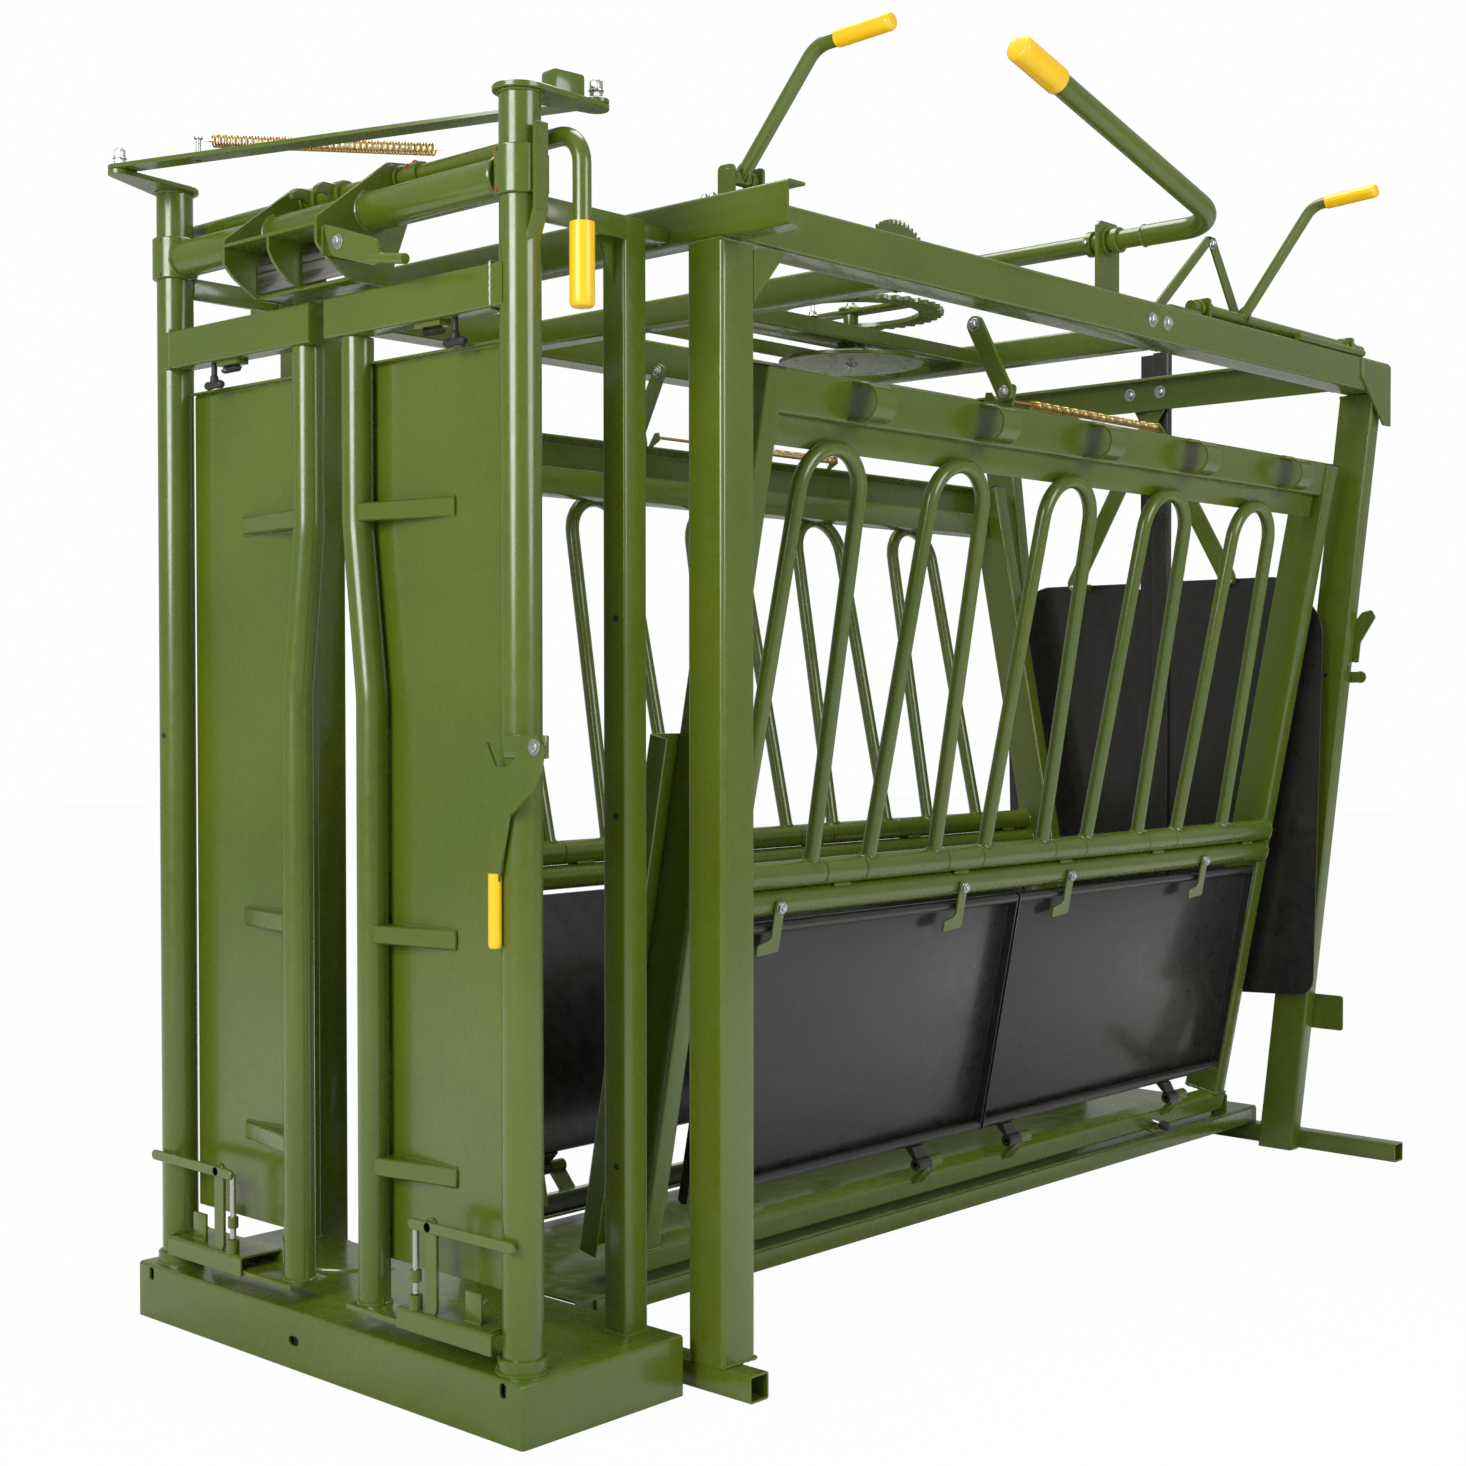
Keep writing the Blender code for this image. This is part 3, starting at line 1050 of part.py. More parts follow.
# Squeeze shaft, gears and links
def squeeze_shaft():
    """Shaft over both rails with its toothed sector and the long hand lever."""
    shaft = round_bar("X", (SHAFT_Y, SHAFT_Z), SHAFT_R, (SHAFT_LEFT, HANDLE_X - 0.14), LARGE)
    bend = (HANDLE_X, SHAFT_Y, SHAFT_Z)
    handle = rod(rounded([(HANDLE_X - 0.19, SHAFT_Y, SHAFT_Z), bend, HANDLE_END], 0.08), HANDLE_R, LARGE)
    sleeve = grip(bend, HANDLE_END, HANDLE_R + GRIP_SLEEVE, SQUEEZE_GRIP)
    start, end = math.radians(48), math.radians(125)
    teeth = 9
    outline = [(SHAFT_Y + SHAFT_R, SHAFT_Z), (SHAFT_Y - SHAFT_R, SHAFT_Z)]
    for i in range(2 * teeth + 1):
        angle = end + (start - end) * i / (2 * teeth)
        radius = SECTOR_R if i % 2 else SECTOR_R - TOOTH
        outline.append((SHAFT_Y + radius * math.cos(angle), SHAFT_Z + radius * math.sin(angle)))
    sector = prism("X", (-0.006, 0.006), outline)
    name_node("squeeze_shaft", weld([shaft, handle, sleeve, sector]), GREEN, origin=(0, SHAFT_Y, SHAFT_Z))


def ring_gear():
    """Toothed ring over a plain disc on one upright spindle."""
    outline = []
    for i in range(RING_TEETH):
        for share, radius in ((0.0, RING_GEAR_R - TOOTH), (0.3, RING_GEAR_R), (0.6, RING_GEAR_R)):
            angle = 2 * math.pi * (i + share) / RING_TEETH
            outline.append((radius * math.cos(angle), GEAR_Y + radius * math.sin(angle)))
    span = (RING_GEAR_Z, RING_GEAR_Z + RING_GEAR)
    ring = prism("Z", span, outline, circle((0, GEAR_Y), RING_GEAR_BORE, 16))
    reach = RING_GEAR_BORE + WELD
    spoke = block((-reach, reach), (GEAR_Y - 0.025, GEAR_Y + 0.025), span)
    spindle = round_bar("Z", (0, GEAR_Y), SPINDLE_R, (DISC_Z + WELD, RING_GEAR_Z + 2 * RING_GEAR))
    collar = round_bar("Z", (0, GEAR_Y), 2 * SPINDLE_R, (RAIL_Z[0] + 0.030 + GAP, RAIL_Z[0] + 0.040))
    disc = prism("Z", (DISC_Z, DISC_Z + RING_GEAR), circle((0, GEAR_Y), DISC_R, 20))
    name_node("ring_gear", weld([ring, spoke, spindle, collar, disc]), GREEN, origin=(0, GEAR_Y, RING_GEAR_Z))


def side_to_world(side, x, z):
    """A point of the leaned side frame in the crush's own frame."""
    lean = math.radians(SIDE_LEAN)
    return (side * (SIDE_PIVOT_X + x * math.cos(lean) + z * math.sin(lean)),
            SIDE_PIVOT_Z - x * math.sin(lean) + z * math.cos(lean))


def squeeze_link(side):
    """A flat link from a side's top beam up towards the gears."""
    foot = side_to_world(side, *LINK_ARM_FOOT)
    top = (side * LINK_ARM_TOP[0], LINK_ARM_TOP[1])
    y = (LINK_ARM_Y, LINK_ARM_Y + LINK_ARM)
    half = LINK_ARM_WIDTH / 2
    bar = prism("Y", y, capsule(foot, top, half * 0.7))
    pin = round_bar("Y", foot, LINK_PIN_R, (y[1] - WELD, y[1] + SIDE_LUG + WELD))
    bolt = round_bar("Y", top, LINK_PIN_R, (y[0] - 0.010, y[0] + WELD))
    name_node("squeeze_link_" + SIDES[side], weld([bar, pin, bolt]), GREEN, origin=(foot[0], y[0], foot[1]))


# Front lever, tail gate and its handle
def bent_lever(start, bend, tip, y, radius):
    path = [(start[0], y, start[1]), (bend[0], y, bend[1]), (tip[0], y, tip[1])]
    return rod(rounded(path, 0.06, 3), radius)


def front_lever():
    reach = LEVER_R + EAR_GRIP + EAR + 2 * GAP
    tube = round_bar("Y", (LEVER_X, LEVER_Z), LEVER_R, (LEVER_Y - reach, LEVER_Y + reach))
    arm = bent_lever((LEVER_X, LEVER_Z), LEVER_BEND, LEVER_TIP, LEVER_Y, LEVER_R * 0.98)
    sleeve = grip((LEVER_BEND[0], LEVER_Y, LEVER_BEND[1]), (LEVER_TIP[0], LEVER_Y, LEVER_TIP[1]),
                  LEVER_R, FRONT_GRIP)
    name_node("front_lever", weld([tube, arm, sleeve]), GREEN, origin=(LEVER_X, LEVER_Y, LEVER_Z))


def tail_handle():
    centre = (TAIL_SHAFT_X, LEVER_Z)
    shaft = round_bar("Y", centre, TAIL_SHAFT_R, TAIL_SHAFT_Y)
    arm = bent_lever(centre, TAIL_BEND, TAIL_TIP, TAIL_ROD_Y, LEVER_R)
    sleeve = grip((TAIL_BEND[0], TAIL_ROD_Y, TAIL_BEND[1]), (TAIL_TIP[0], TAIL_ROD_Y, TAIL_TIP[1]),
                  LEVER_R, TAIL_GRIP)
    name_node("tail_gate_handle", weld([shaft, arm, sleeve]), GREEN, origin=(centre[0], TAIL_ROD_Y, centre[1]))


# The left arm swings next to the beam, then the right arm, the right gate and the left gate
LEFT_ARM = (BEAM_Y + BEAM_WALL + 3 * PLANE_GAP, BEAM_Y + BEAM_WALL + 3 * PLANE_GAP + GATE_ARM)
RIGHT_ARM = (LEFT_ARM[1] + PLANE_GAP, LEFT_ARM[1] + PLANE_GAP + GATE_ARM)
RIGHT_GATE = (RIGHT_ARM[1] - WELD / 2, RIGHT_ARM[1] - WELD / 2 + GATE_DEPTH)
LEFT_GATE = (RIGHT_GATE[1] + PLANE_GAP, RIGHT_GATE[1] + PLANE_GAP + GATE_DEPTH)
ARM_PLANES = {-1: LEFT_ARM, 1: RIGHT_ARM}
GATE_PLANES = {-1: LEFT_GATE, 1: RIGHT_GATE}


def tail_gate(side):
    """Half of the tail gate: a sheet with rolled edges, a long tube and a crossing arm."""
    plane, arm_plane = GATE_PLANES[side], ARM_PLANES[side]
    tube = box_tube("Z", across(side, *GATE_TUBE), plane, FOOT_WALL, GATE_TUBE_Z)
    edge = [(GATE_TUBE[1] - WELD, GATE_Z[0])] + list(GATE_EDGE) + [(GATE_TUBE[1] - WELD, GATE_Z[1])]
    outer = rounded(edge, 0.05, 2, closed=True)
    rim = prism("Y", plane, flip(side, outer), flip(side, inset(outer, GATE_RIM)))
    middle = sum(plane) / 2
    sheet = prism("Y", (middle - GATE_SHEET / 2, middle + GATE_SHEET / 2), flip(side, inset(outer, WELD)))
    pivot = (-side * GATE_PIVOT_X, GATE_PIVOT_Z)
    foot = (side * GATE_ARM_FOOT[0], GATE_ARM_FOOT[1])
    arm = prism("Y", arm_plane, capsule(pivot, foot, GATE_ARM_WIDTH / 2),
                bore(pivot, GATE_PIN_R))
    pieces = [tube, rim, sheet, arm]
    half = GATE_RIM
    pieces.append(block((foot[0] - half, foot[0] + half), (arm_plane[0] + WELD, middle),
                        (foot[1] - half, foot[1])))
    name_node("tail_gate_" + SIDES[side], weld(pieces), BLACK, origin=(pivot[0], middle, pivot[1]))


def build():
    base_pan()
    header()
    latch_shaft()
    door_link()
    door_spring()
    hook_lever()
    front_foot_tube()
    rear_foot_tube()
    front_channel()
    rear_cross_beam()
    gear_carrier()
    floor_tray()
    squeeze_shaft()
    ring_gear()
    front_lever()
    tail_handle()
    for side in SIDES:
        head_post(side)
        door_frame(side)
        door_leaf(side)
        rail_knob(side)
        lock_lever(side)
        front_post(side)
        top_rail(side)
        rear_post(side)
        empty = lean_empty(side)
        side_frame(side, empty)
        for number, y in enumerate(bar_centres()):
            drop_bar(side, number + 1, y, empty)
        for number in range(len(PANEL_SPANS)):
            side_panel(side, number, empty)
        for number, y in enumerate(y for pair in CATCH_Y for y in pair):
            panel_catch(side, number + 1, y, empty)
        squeeze_link(side)
        tail_gate(side)


build()
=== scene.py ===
# Cattle crush with a head gate, squeeze sides and a tail gate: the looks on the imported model.
# Metres, Z up. X runs across the crush, and Y from the head gate to the tail gate.
import math

import bmesh
import bpy
from mathutils import Matrix, Vector


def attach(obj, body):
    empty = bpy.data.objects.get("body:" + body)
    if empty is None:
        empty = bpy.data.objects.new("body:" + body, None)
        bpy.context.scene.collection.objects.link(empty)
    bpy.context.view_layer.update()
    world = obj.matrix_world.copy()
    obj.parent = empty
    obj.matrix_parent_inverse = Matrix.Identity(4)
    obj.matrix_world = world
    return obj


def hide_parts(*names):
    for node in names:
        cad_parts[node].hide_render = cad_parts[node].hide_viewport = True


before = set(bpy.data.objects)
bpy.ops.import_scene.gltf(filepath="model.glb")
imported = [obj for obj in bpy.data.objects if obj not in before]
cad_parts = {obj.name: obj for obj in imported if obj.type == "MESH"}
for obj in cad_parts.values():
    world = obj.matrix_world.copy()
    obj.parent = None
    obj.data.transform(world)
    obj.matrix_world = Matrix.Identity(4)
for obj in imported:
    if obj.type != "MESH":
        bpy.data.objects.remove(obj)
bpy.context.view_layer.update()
sideNames = {-1: "left", 1: "right"}

camera = {
    "place": (3.236, -2.352, 1.27),
    "turn": 42.49,          # degrees about Z
    "tilt": 1.151,          # degrees below level
    "roll": -0.04,
    "focalShare": 2095.4 / 1466,    # focal length over the picture's width
    "sensor": 36.0,
    "shift": (-0.0009, 0.0069),
}

studio = {
    "backdrop": 1.0,        # how bright the backdrop looks
    "daylight": 0.3,       # how much light it gives
    "mirrored": 0.15,       # its share of brightness in glossy surfaces
    "floorShade": 0.86,
    "floorLift": 0.97,      # share of plain white that the lens sees in the floor
    "floorSize": 40.0,
    "keyPlace": (1.0, -6.0, 3.4),
    "keySize": 3.6,
    "keyPower": 350.0,
    "fillPlace": (6.0, 1.5, 3.2),
    "fillSize": 3.2,
    "fillPower": 150.0,
    "topPlace": (-0.5, 1.5, 6.0),
    "topSize": 4.0,
    "topPower": 210.0,
}


def setCamera():
    lens = bpy.data.cameras.new("camera")
    lens.sensor_width = camera["sensor"]
    lens.lens = camera["focalShare"] * camera["sensor"]
    lens.shift_x, lens.shift_y = camera["shift"]
    lens.clip_end = 100
    seen = bpy.data.objects.new("camera", lens)
    tilt = Matrix.Rotation(math.radians(90 - camera["tilt"]), 4, "X")
    turn = Matrix.Rotation(math.radians(camera["turn"]), 4, "Z")
    roll = Matrix.Rotation(math.radians(camera["roll"]), 4, "Z")
    seen.matrix_world = Matrix.Translation(camera["place"]) @ turn @ tilt @ roll
    bpy.context.scene.collection.objects.link(seen)
    bpy.context.scene.camera = seen
    bpy.context.scene.view_settings.view_transform = "Standard"


setCamera()
print("camera set")


# Shader sockets as values
class Wire:
    def __init__(self, tree, socket=None):
        self.tree = tree
        self.socket = socket

    def node(self, kind, settings=None, inputs=None, output=0):
        made = self.tree.nodes.new("ShaderNode" + kind)
        for key, value in (settings or {}).items():
            setattr(made, key, value)
        for key, value in (inputs or {}).items():
            if isinstance(value, Wire):
                self.tree.links.new(value.socket, made.inputs[key])
            else:
                made.inputs[key].default_value = value
        return Wire(self.tree, made.outputs[output] if made.outputs else None)

    def maths(self, operation, first, second):
        return self.node("Math", {"operation": operation}, {0: first, 1: second})

    def __add__(self, other):
        return self.maths("ADD", self, other)

    __radd__ = __add__

    def __sub__(self, other):
        return self.maths("SUBTRACT", self, other)

    def __rsub__(self, other):
        return self.maths("SUBTRACT", other, self)

    def __mul__(self, other):
        return self.maths("MULTIPLY", self, other)

    __rmul__ = __mul__

    def fit(self, low, high, start=0.0, end=1.0):   # a stretch of the value, clamped, as another stretch
        return self.node("MapRange", None, {"Value": self, "From Min": low, "From Max": high,
                                            "To Min": start, "To Max": end})

    def tint(self, first, second):      # colours mixed by this value
        return self.node("Mix", {"data_type": "RGBA"}, {0: self, 6: first, 7: second}, 2)


def freshTree(owner):
    owner.use_nodes = True
    owner.node_tree.nodes.clear()
    return Wire(owner.node_tree)


def rgba(shade):
    return (*shade, 1.0)


finishes = {
    "green": {"colour": (0.098, 0.133, 0.007), "other": (0.075, 0.118, 0.006), "roughness": (0.2, 0.34),
              "metal": 0.0, "coat": 0.45, "peel": 0.00002, "peelScale": 220.0, "dust": 0.04, "runs": 0.0001},
    "deck": {"colour": (0.085, 0.12, 0.01), "other": (0.058, 0.098, 0.009), "roughness": (0.28, 0.45),
             "metal": 0.0, "coat": 0.35, "peel": 0.0001, "peelScale": 240.0, "dust": 0.3, "tread": 0.0016},
    "black": {"colour": (0.0125, 0.0115, 0.0105), "other": (0.018, 0.016, 0.015), "roughness": (0.24, 0.4),
              "metal": 0.0, "coat": 0.35, "peel": 0.00005, "peelScale": 420.0, "dust": 0.06},
    "yellow": {"colour": (0.98, 0.6, 0.004), "other": (0.93, 0.54, 0.004), "roughness": (0.3, 0.42),
               "metal": 0.0, "coat": 0.25, "peel": 0.00004, "peelScale": 90.0, "dust": 0.0},
    "zinc": {"colour": (0.62, 0.62, 0.6), "other": (0.45, 0.46, 0.46), "roughness": (0.22, 0.42),
             "metal": 1.0, "coat": 0.0, "peel": 0.00005, "peelScale": 500.0, "dust": 0.0},
    "brass": {"colour": (0.74, 0.55, 0.22), "other": (0.62, 0.43, 0.15), "roughness": (0.22, 0.4),
              "metal": 1.0, "coat": 0.0, "peel": 0.00003, "peelScale": 500.0, "dust": 0.0},
    "steel": {"colour": (0.5, 0.48, 0.45), "other": (0.3, 0.28, 0.25), "roughness": (0.25, 0.5),
              "metal": 1.0, "coat": 0.0, "peel": 0.00006, "peelScale": 300.0, "dust": 0.0, "brush": 60.0},
    # dark rubber; the same finish is painted shade on the blocks behind the pan's slots
    "rubber": {"colour": (0.022, 0.017, 0.017), "other": (0.032, 0.026, 0.025), "roughness": (0.45, 0.62),
               "metal": 0.0, "coat": 0.0, "peel": 0.0001, "peelScale": 300.0, "dust": 0.05},
    "red": {"colour": (0.42, 0.035, 0.02), "other": (0.3, 0.03, 0.02), "roughness": (0.3, 0.45),
            "metal": 0.0, "coat": 0.3, "peel": 0.0001, "peelScale": 200.0, "dust": 0.0},
}
dustShade = (0.36, 0.33, 0.26)
materials = {}


def stretched(start, place, scale, turn=0.0):
    return start.node("Mapping", {"vector_type": "POINT"}, {0: place, 2: (0, 0, turn), 3: scale})


def makeFinish(name, look):
    made = bpy.data.materials.new(name)
    start = freshTree(made)
    place = start.node("TexCoord", None, None, 3)
    height = start.node("SeparateXYZ", None, {0: place}, 2)
    broad = start.node("TexNoise", None, {"Vector": place, "Scale": 2.3, "Detail": 3.0})
    fine = start.node("TexNoise", None, {"Vector": place, "Scale": 34.0, "Detail": 5.0, "Roughness": 0.6})
    shade = broad.fit(0.35, 0.65).tint(rgba(look["colour"]), rgba(look["other"]))
    if look.get("brush"):       # long marks along one way
        drawn = stretched(start, place, (1.0, look["brush"], look["brush"]))
        marks = start.node("TexNoise", None, {"Vector": drawn, "Scale": 3.0, "Detail": 6.0})
        fine = marks.fit(0.3, 0.7)
        shade = fine.tint(rgba(look["colour"]), rgba(look["other"]))
    if look["dust"]:            # thin dust, thicker towards the ground
        settled = height.fit(0.0, 0.9, 1.0, 0.25) * fine.fit(0.45, 0.8) * look["dust"]
        shade = settled.tint(shade, rgba(dustShade))
    low, high = look["roughness"]
    rough = fine.fit(0.3, 0.7, low, high)
    relief = start.node("TexNoise", None, {"Vector": place, "Scale": look["peelScale"], "Detail": 2.0})
    relief = relief * look["peel"]
    if look.get("runs"):        # slow waves of a thick sprayed coat
        drawn = stretched(start, place, (22.0, 22.0, 7.0))
        waves = start.node("TexNoise", None, {"Vector": drawn, "Scale": 1.0, "Detail": 1.0})
        relief = relief + waves * look["runs"]
    if look.get("tread"):       # crossed lozenges of the deck's plate
        drawn = stretched(start, place, (28.0, 28.0, 1.0), math.radians(45))
        cells = start.node("TexVoronoi", {"distance": "MANHATTAN"},
                           {"Vector": drawn, "Scale": 1.0, "Randomness": 0.0})
        relief = relief + cells.fit(0.22, 0.34, 1.0, 0.0) * look["tread"]
    bump = start.node("Bump", None, {"Strength": 1.0, "Distance": 1.0, "Height": relief})
    surface = start.node("BsdfPrincipled", None, {
        "Base Color": shade, "Roughness": rough, "Metallic": look["metal"],
        "Coat Weight": look["coat"], "Coat Roughness": 0.12, "Normal": bump})
    surface.node("OutputMaterial", None, {"Surface": surface})
    return made


for finishName, finishLook in finishes.items():
    materials[finishName] = makeFinish(finishName, finishLook)
print("finishes made")


# Shapes: each helper returns a bmesh of one closed solid
axisPlace = {
    "X": Matrix(((0, 0, 1, 0), (1, 0, 0, 0), (0, 1, 0, 0), (0, 0, 0, 1))),
    "Y": Matrix(((1, 0, 0, 0), (0, 0, 1, 0), (0, 1, 0, 0), (0, 0, 0, 1))),
    "Z": Matrix.Identity(4),
}


def about(middle, half):
    return middle - half, middle + half


def pair(side, low, high):      # a span on one side of the crush, low end first
    return tuple(sorted((side * low, side * high)))


def mirrored(side, points):
    return [(side * u, v) for u, v in points]


def corners(u, v):
    return [(u[0], v[0]), (u[1], v[0]), (u[1], v[1]), (u[0], v[1])]


def rounded(points, radius, steps=5):       # corners of a path turned into arcs
    points = [Vector(point) for point in points]
    result = [points[0]]
    for before, here, after in zip(points, points[1:], points[2:]):
        back, ahead = before - here, after - here
        half = back.angle(ahead) / 2
        reach = min(radius / math.tan(half), back.length * 0.49, ahead.length * 0.49)
        bend = reach * math.tan(half)
        centre = here + (back.normalized() + ahead.normalized()).normalized() * bend / math.sin(half)
        first = here + back.normalized() * reach - centre
        last = here + ahead.normalized() * reach - centre
        sweepAngle = first.angle(last)
        for i in range(steps + 1):
            share = i / steps
            mixed = first * math.sin((1 - share) * sweepAngle) + last * math.sin(share * sweepAngle)
            result.append(centre + mixed / math.sin(sweepAngle))
    return result + [points[-1]]


def vertsOf(parts):
    return [part for part in parts if isinstance(part, bmesh.types.BMVert)]


def outward(bm):
    bmesh.ops.remove_doubles(bm, verts=bm.verts, dist=0.000005)
    bmesh.ops.recalc_face_normals(bm, faces=bm.faces)
    return bm


def bevelled(bm, parts, width, segments, affect="VERTICES"):
    bmesh.ops.bevel(bm, geom=parts, offset=width, segments=segments, affect=affect, profile=0.5, material=-1,
                    clamp_overlap=True)


def softened(bm, width, segments=2):        # a small round on every sharp edge
    sharp = [edge for edge in bm.edges if edge.calc_face_angle(0) > 0.6]
    if width and sharp:
        bevelled(bm, sharp, width, segments, "EDGES")
    return outward(bm)


def sweep(points, radius, sides=20, radii=None):        # a ring drawn along a path
    points = [Vector(point) for point in points]
    bm = bmesh.new()
    ring = bmesh.ops.create_circle(bm, segments=sides, radius=1.0)["verts"]
    edges = bm.edges[:]
    tangent = (points[1] - points[0]).normalized()
    turn = tangent.to_track_quat("Z", "Y")
    stand = None
    for i, point in enumerate(points):
        ahead = points[min(i + 1, len(points) - 1)] - point
        behind = point - points[max(i - 1, 0)]
        heading = (ahead.normalized() + behind.normalized()).normalized()
        turn = tangent.rotation_difference(heading) @ turn
        tangent = heading
        thick = radius * (radii[i] if radii else 1.0)
        size = Matrix.Diagonal((thick, thick, 1.0, 1.0))
        goal = Matrix.Translation(point) @ turn.to_matrix().to_4x4() @ size
        if stand is not None:
            made = bmesh.ops.extrude_edge_only(bm, edges=edges)["geom"]
            ring = vertsOf(made)
            fresh = set(ring)
            edges = [part for part in made
                     if isinstance(part, bmesh.types.BMEdge) and set(part.verts) <= fresh]
        back = stand.inverted() if stand is not None else Matrix.Identity(4)
        bmesh.ops.transform(bm, matrix=goal @ back, verts=ring)
        stand = goal
    bmesh.ops.holes_fill(bm, edges=[edge for edge in bm.edges if edge.is_boundary], sides=0)
    return outward(bm)


def block(x, y, z, edge=0.002):     # a span along each axis
    bm = bmesh.new()
    bmesh.ops.create_cube(bm, size=1.0)
    low, high = map(Vector, zip(x, y, z))
    bmesh.ops.scale(bm, vec=[abs(value) for value in high - low], verts=bm.verts)
    bmesh.ops.translate(bm, vec=(low + high) / 2, verts=bm.verts)
    return softened(bm, edge)


def drawnOut(bm, span):     # flat faces drawn out along Z
    moved = bmesh.ops.extrude_face_region(bm, geom=bm.faces[:])["geom"]
    bmesh.ops.translate(bm, vec=(0, 0, span[1] - span[0]), verts=vertsOf(moved))


# A flat outline drawn out along an axis; with a rim it is open inside
def plate(axis, span, points, corner=0.0, edge=0.0012, steps=5, rim=0.0, segments=1):
    bm = bmesh.new()
    bm.faces.new([bm.verts.new((u, v, span[0])) for u, v in points])
    if corner:
        bevelled(bm, bm.verts[:], corner, steps)
    if rim:
        whole = bm.faces[:]
        bmesh.ops.inset_region(bm, faces=whole, thickness=rim, use_even_offset=True)
        bmesh.ops.delete(bm, geom=whole, context="FACES_ONLY")
    drawnOut(bm, span)
    bmesh.ops.transform(bm, matrix=axisPlace[axis], verts=bm.verts)
    outward(bm)
    return softened(bm, edge, segments)


def slab(axis, span, u, v, corner=0.0, edge=0.0012):
    return plate(axis, span, corners(u, v), corner, edge)


def strap(axis, span, points, wall, corner=0.0, edge=0.001):   # a bent strip: a centre line given a wall
    line = [Vector((u, v, 0)) for u, v in points]
    if corner and len(line) > 2:
        line = rounded(line, corner, 5)
    left, right = [], []
    for i, point in enumerate(line):
        before = (point - line[i - 1]).normalized() if i else (line[1] - point).normalized()
        after = (line[i + 1] - point).normalized() if i + 1 < len(line) else before
        way = (before + after).normalized()
        side = Vector((-way.y, way.x, 0)) * (wall / 2 / max(0.3, way.dot(after)))
        left.append((point + side)[:2])
        right.append((point - side)[:2])
    return plate(axis, span, left + right[::-1], 0, edge)


def boxTube(axis, span, u, v, wall, corner=0.008):      # a square tube with rounded corners and open ends
    bm = bmesh.new()
    bm.faces.new([bm.verts.new((a, b, span[0])) for a, b in corners(u, v)])
    bevelled(bm, bm.verts[:], corner, 4)
    loop = bm.edges[:]
    bmesh.ops.delete(bm, geom=bm.faces[:], context="FACES_ONLY")
    made = bmesh.ops.extrude_edge_only(bm, edges=loop)["geom"]
    bmesh.ops.translate(bm, vec=(0, 0, span[1] - span[0]), verts=vertsOf(made))
    bmesh.ops.recalc_face_normals(bm, faces=bm.faces)
    bmesh.ops.solidify(bm, geom=bm.faces[:], thickness=wall)
    bmesh.ops.transform(bm, matrix=axisPlace[axis], verts=bm.verts)
    return outward(bm)


def turned(axis, centre, profile, sides=28):    # radius and height pairs spun about an axis
    bm = bmesh.new()
    verts = [bm.verts.new((radius, 0, height)) for radius, height in profile]
    edges = [bm.edges.new(ends) for ends in zip(verts, verts[1:])]
    bmesh.ops.spin(bm, geom=verts + edges, cent=(0, 0, 0), axis=(0, 0, 1), angle=2 * math.pi, steps=sides,
                   use_merge=True)
    bmesh.ops.holes_fill(bm, edges=[edge for edge in bm.edges if edge.is_boundary], sides=0)
    bmesh.ops.transform(bm, matrix=axisPlace[axis], verts=bm.verts)
    bmesh.ops.translate(bm, vec=centre, verts=bm.verts)
    return outward(bm)


def rimOf(radius, span, edge):
    low, high = span
    return [(radius - edge, low), (radius, low + edge), (radius, high - edge), (radius - edge, high)]


def disc(axis, centre, radius, span, edge=0.0015, sides=28):
    return turned(axis, centre, [(0, span[0]), *rimOf(radius, span, edge), (0, span[1])], sides)


def ringShape(axis, centre, radius, inner, span, edge=0.001, sides=28):
    low, high = span
    profile = [(inner, low), *rimOf(radius, span, edge), (inner, high), (inner, low)]
    return turned(axis, centre, profile, sides)


def hexHead(axis, centre, radius, span):
    bm = bmesh.new()
    bmesh.ops.create_cone(bm, cap_ends=True, segments=6, radius1=radius, radius2=radius,
                          depth=abs(span[1] - span[0]))
    bmesh.ops.translate(bm, vec=(0, 0, (span[0] + span[1]) / 2), verts=bm.verts)
    bmesh.ops.transform(bm, matrix=axisPlace[axis], verts=bm.verts)
    bmesh.ops.translate(bm, vec=centre, verts=bm.verts)
    outward(bm)
    return softened(bm, 0.0009, 2)


def coil(start, end, radius, wire, turns, sides=7, steps=14):     # a coil spring with a hook at each end
    start, end = Vector(start), Vector(end)
    along = (end - start).normalized()
    turn = along.to_track_quat("Z", "Y")
    length = (end - start).length
    count = int(turns * steps)
    points = [start - along * radius * 1.6, start - along * radius * 0.7]
    for i in range(count + 1):
        angle = 2 * math.pi * i / steps
        spot = Vector((radius * math.cos(angle), radius * math.sin(angle), length * i / count))
        points.append(start + turn @ spot)
    points += [end + along * radius * 0.7, end + along * radius * 1.6]
    return sweep(points, wire, sides)


def gripSleeve(start, end, radius):     # a dipped plastic sleeve with a rounded end
    start, end = Vector(start), Vector(end)
    along = end - start
    shares = (0.0, 0.004, 0.02, 0.8, 0.93, 0.965, 0.985, 0.996, 1.0)
    widths = (0.9, 0.985, 1.0, 1.0, 1.0, 0.955, 0.84, 0.62, 0.35)
    return sweep([start + along * share for share in shares], radius, 28, widths)


def bead(points, radius=0.0035, step=0.0045, seed=0):    # a weld: a ridge with even ripples
    points = [Vector(point) for point in points]
    spread = []
    for first, last in zip(points, points[1:]):
        count = max(1, round((last - first).length / step))
        spread += [first.lerp(last, i / count) for i in range(count)]
    spread.append(points[-1])
    radii = [1.0 + 0.16 * math.sin(2.1 * i + seed) + 0.08 * math.sin(0.83 * i + 2 * seed)
             for i in range(len(spread))]
    radii[0] = radii[-1] = 0.45
    return sweep(spread, radius, 7, radii)


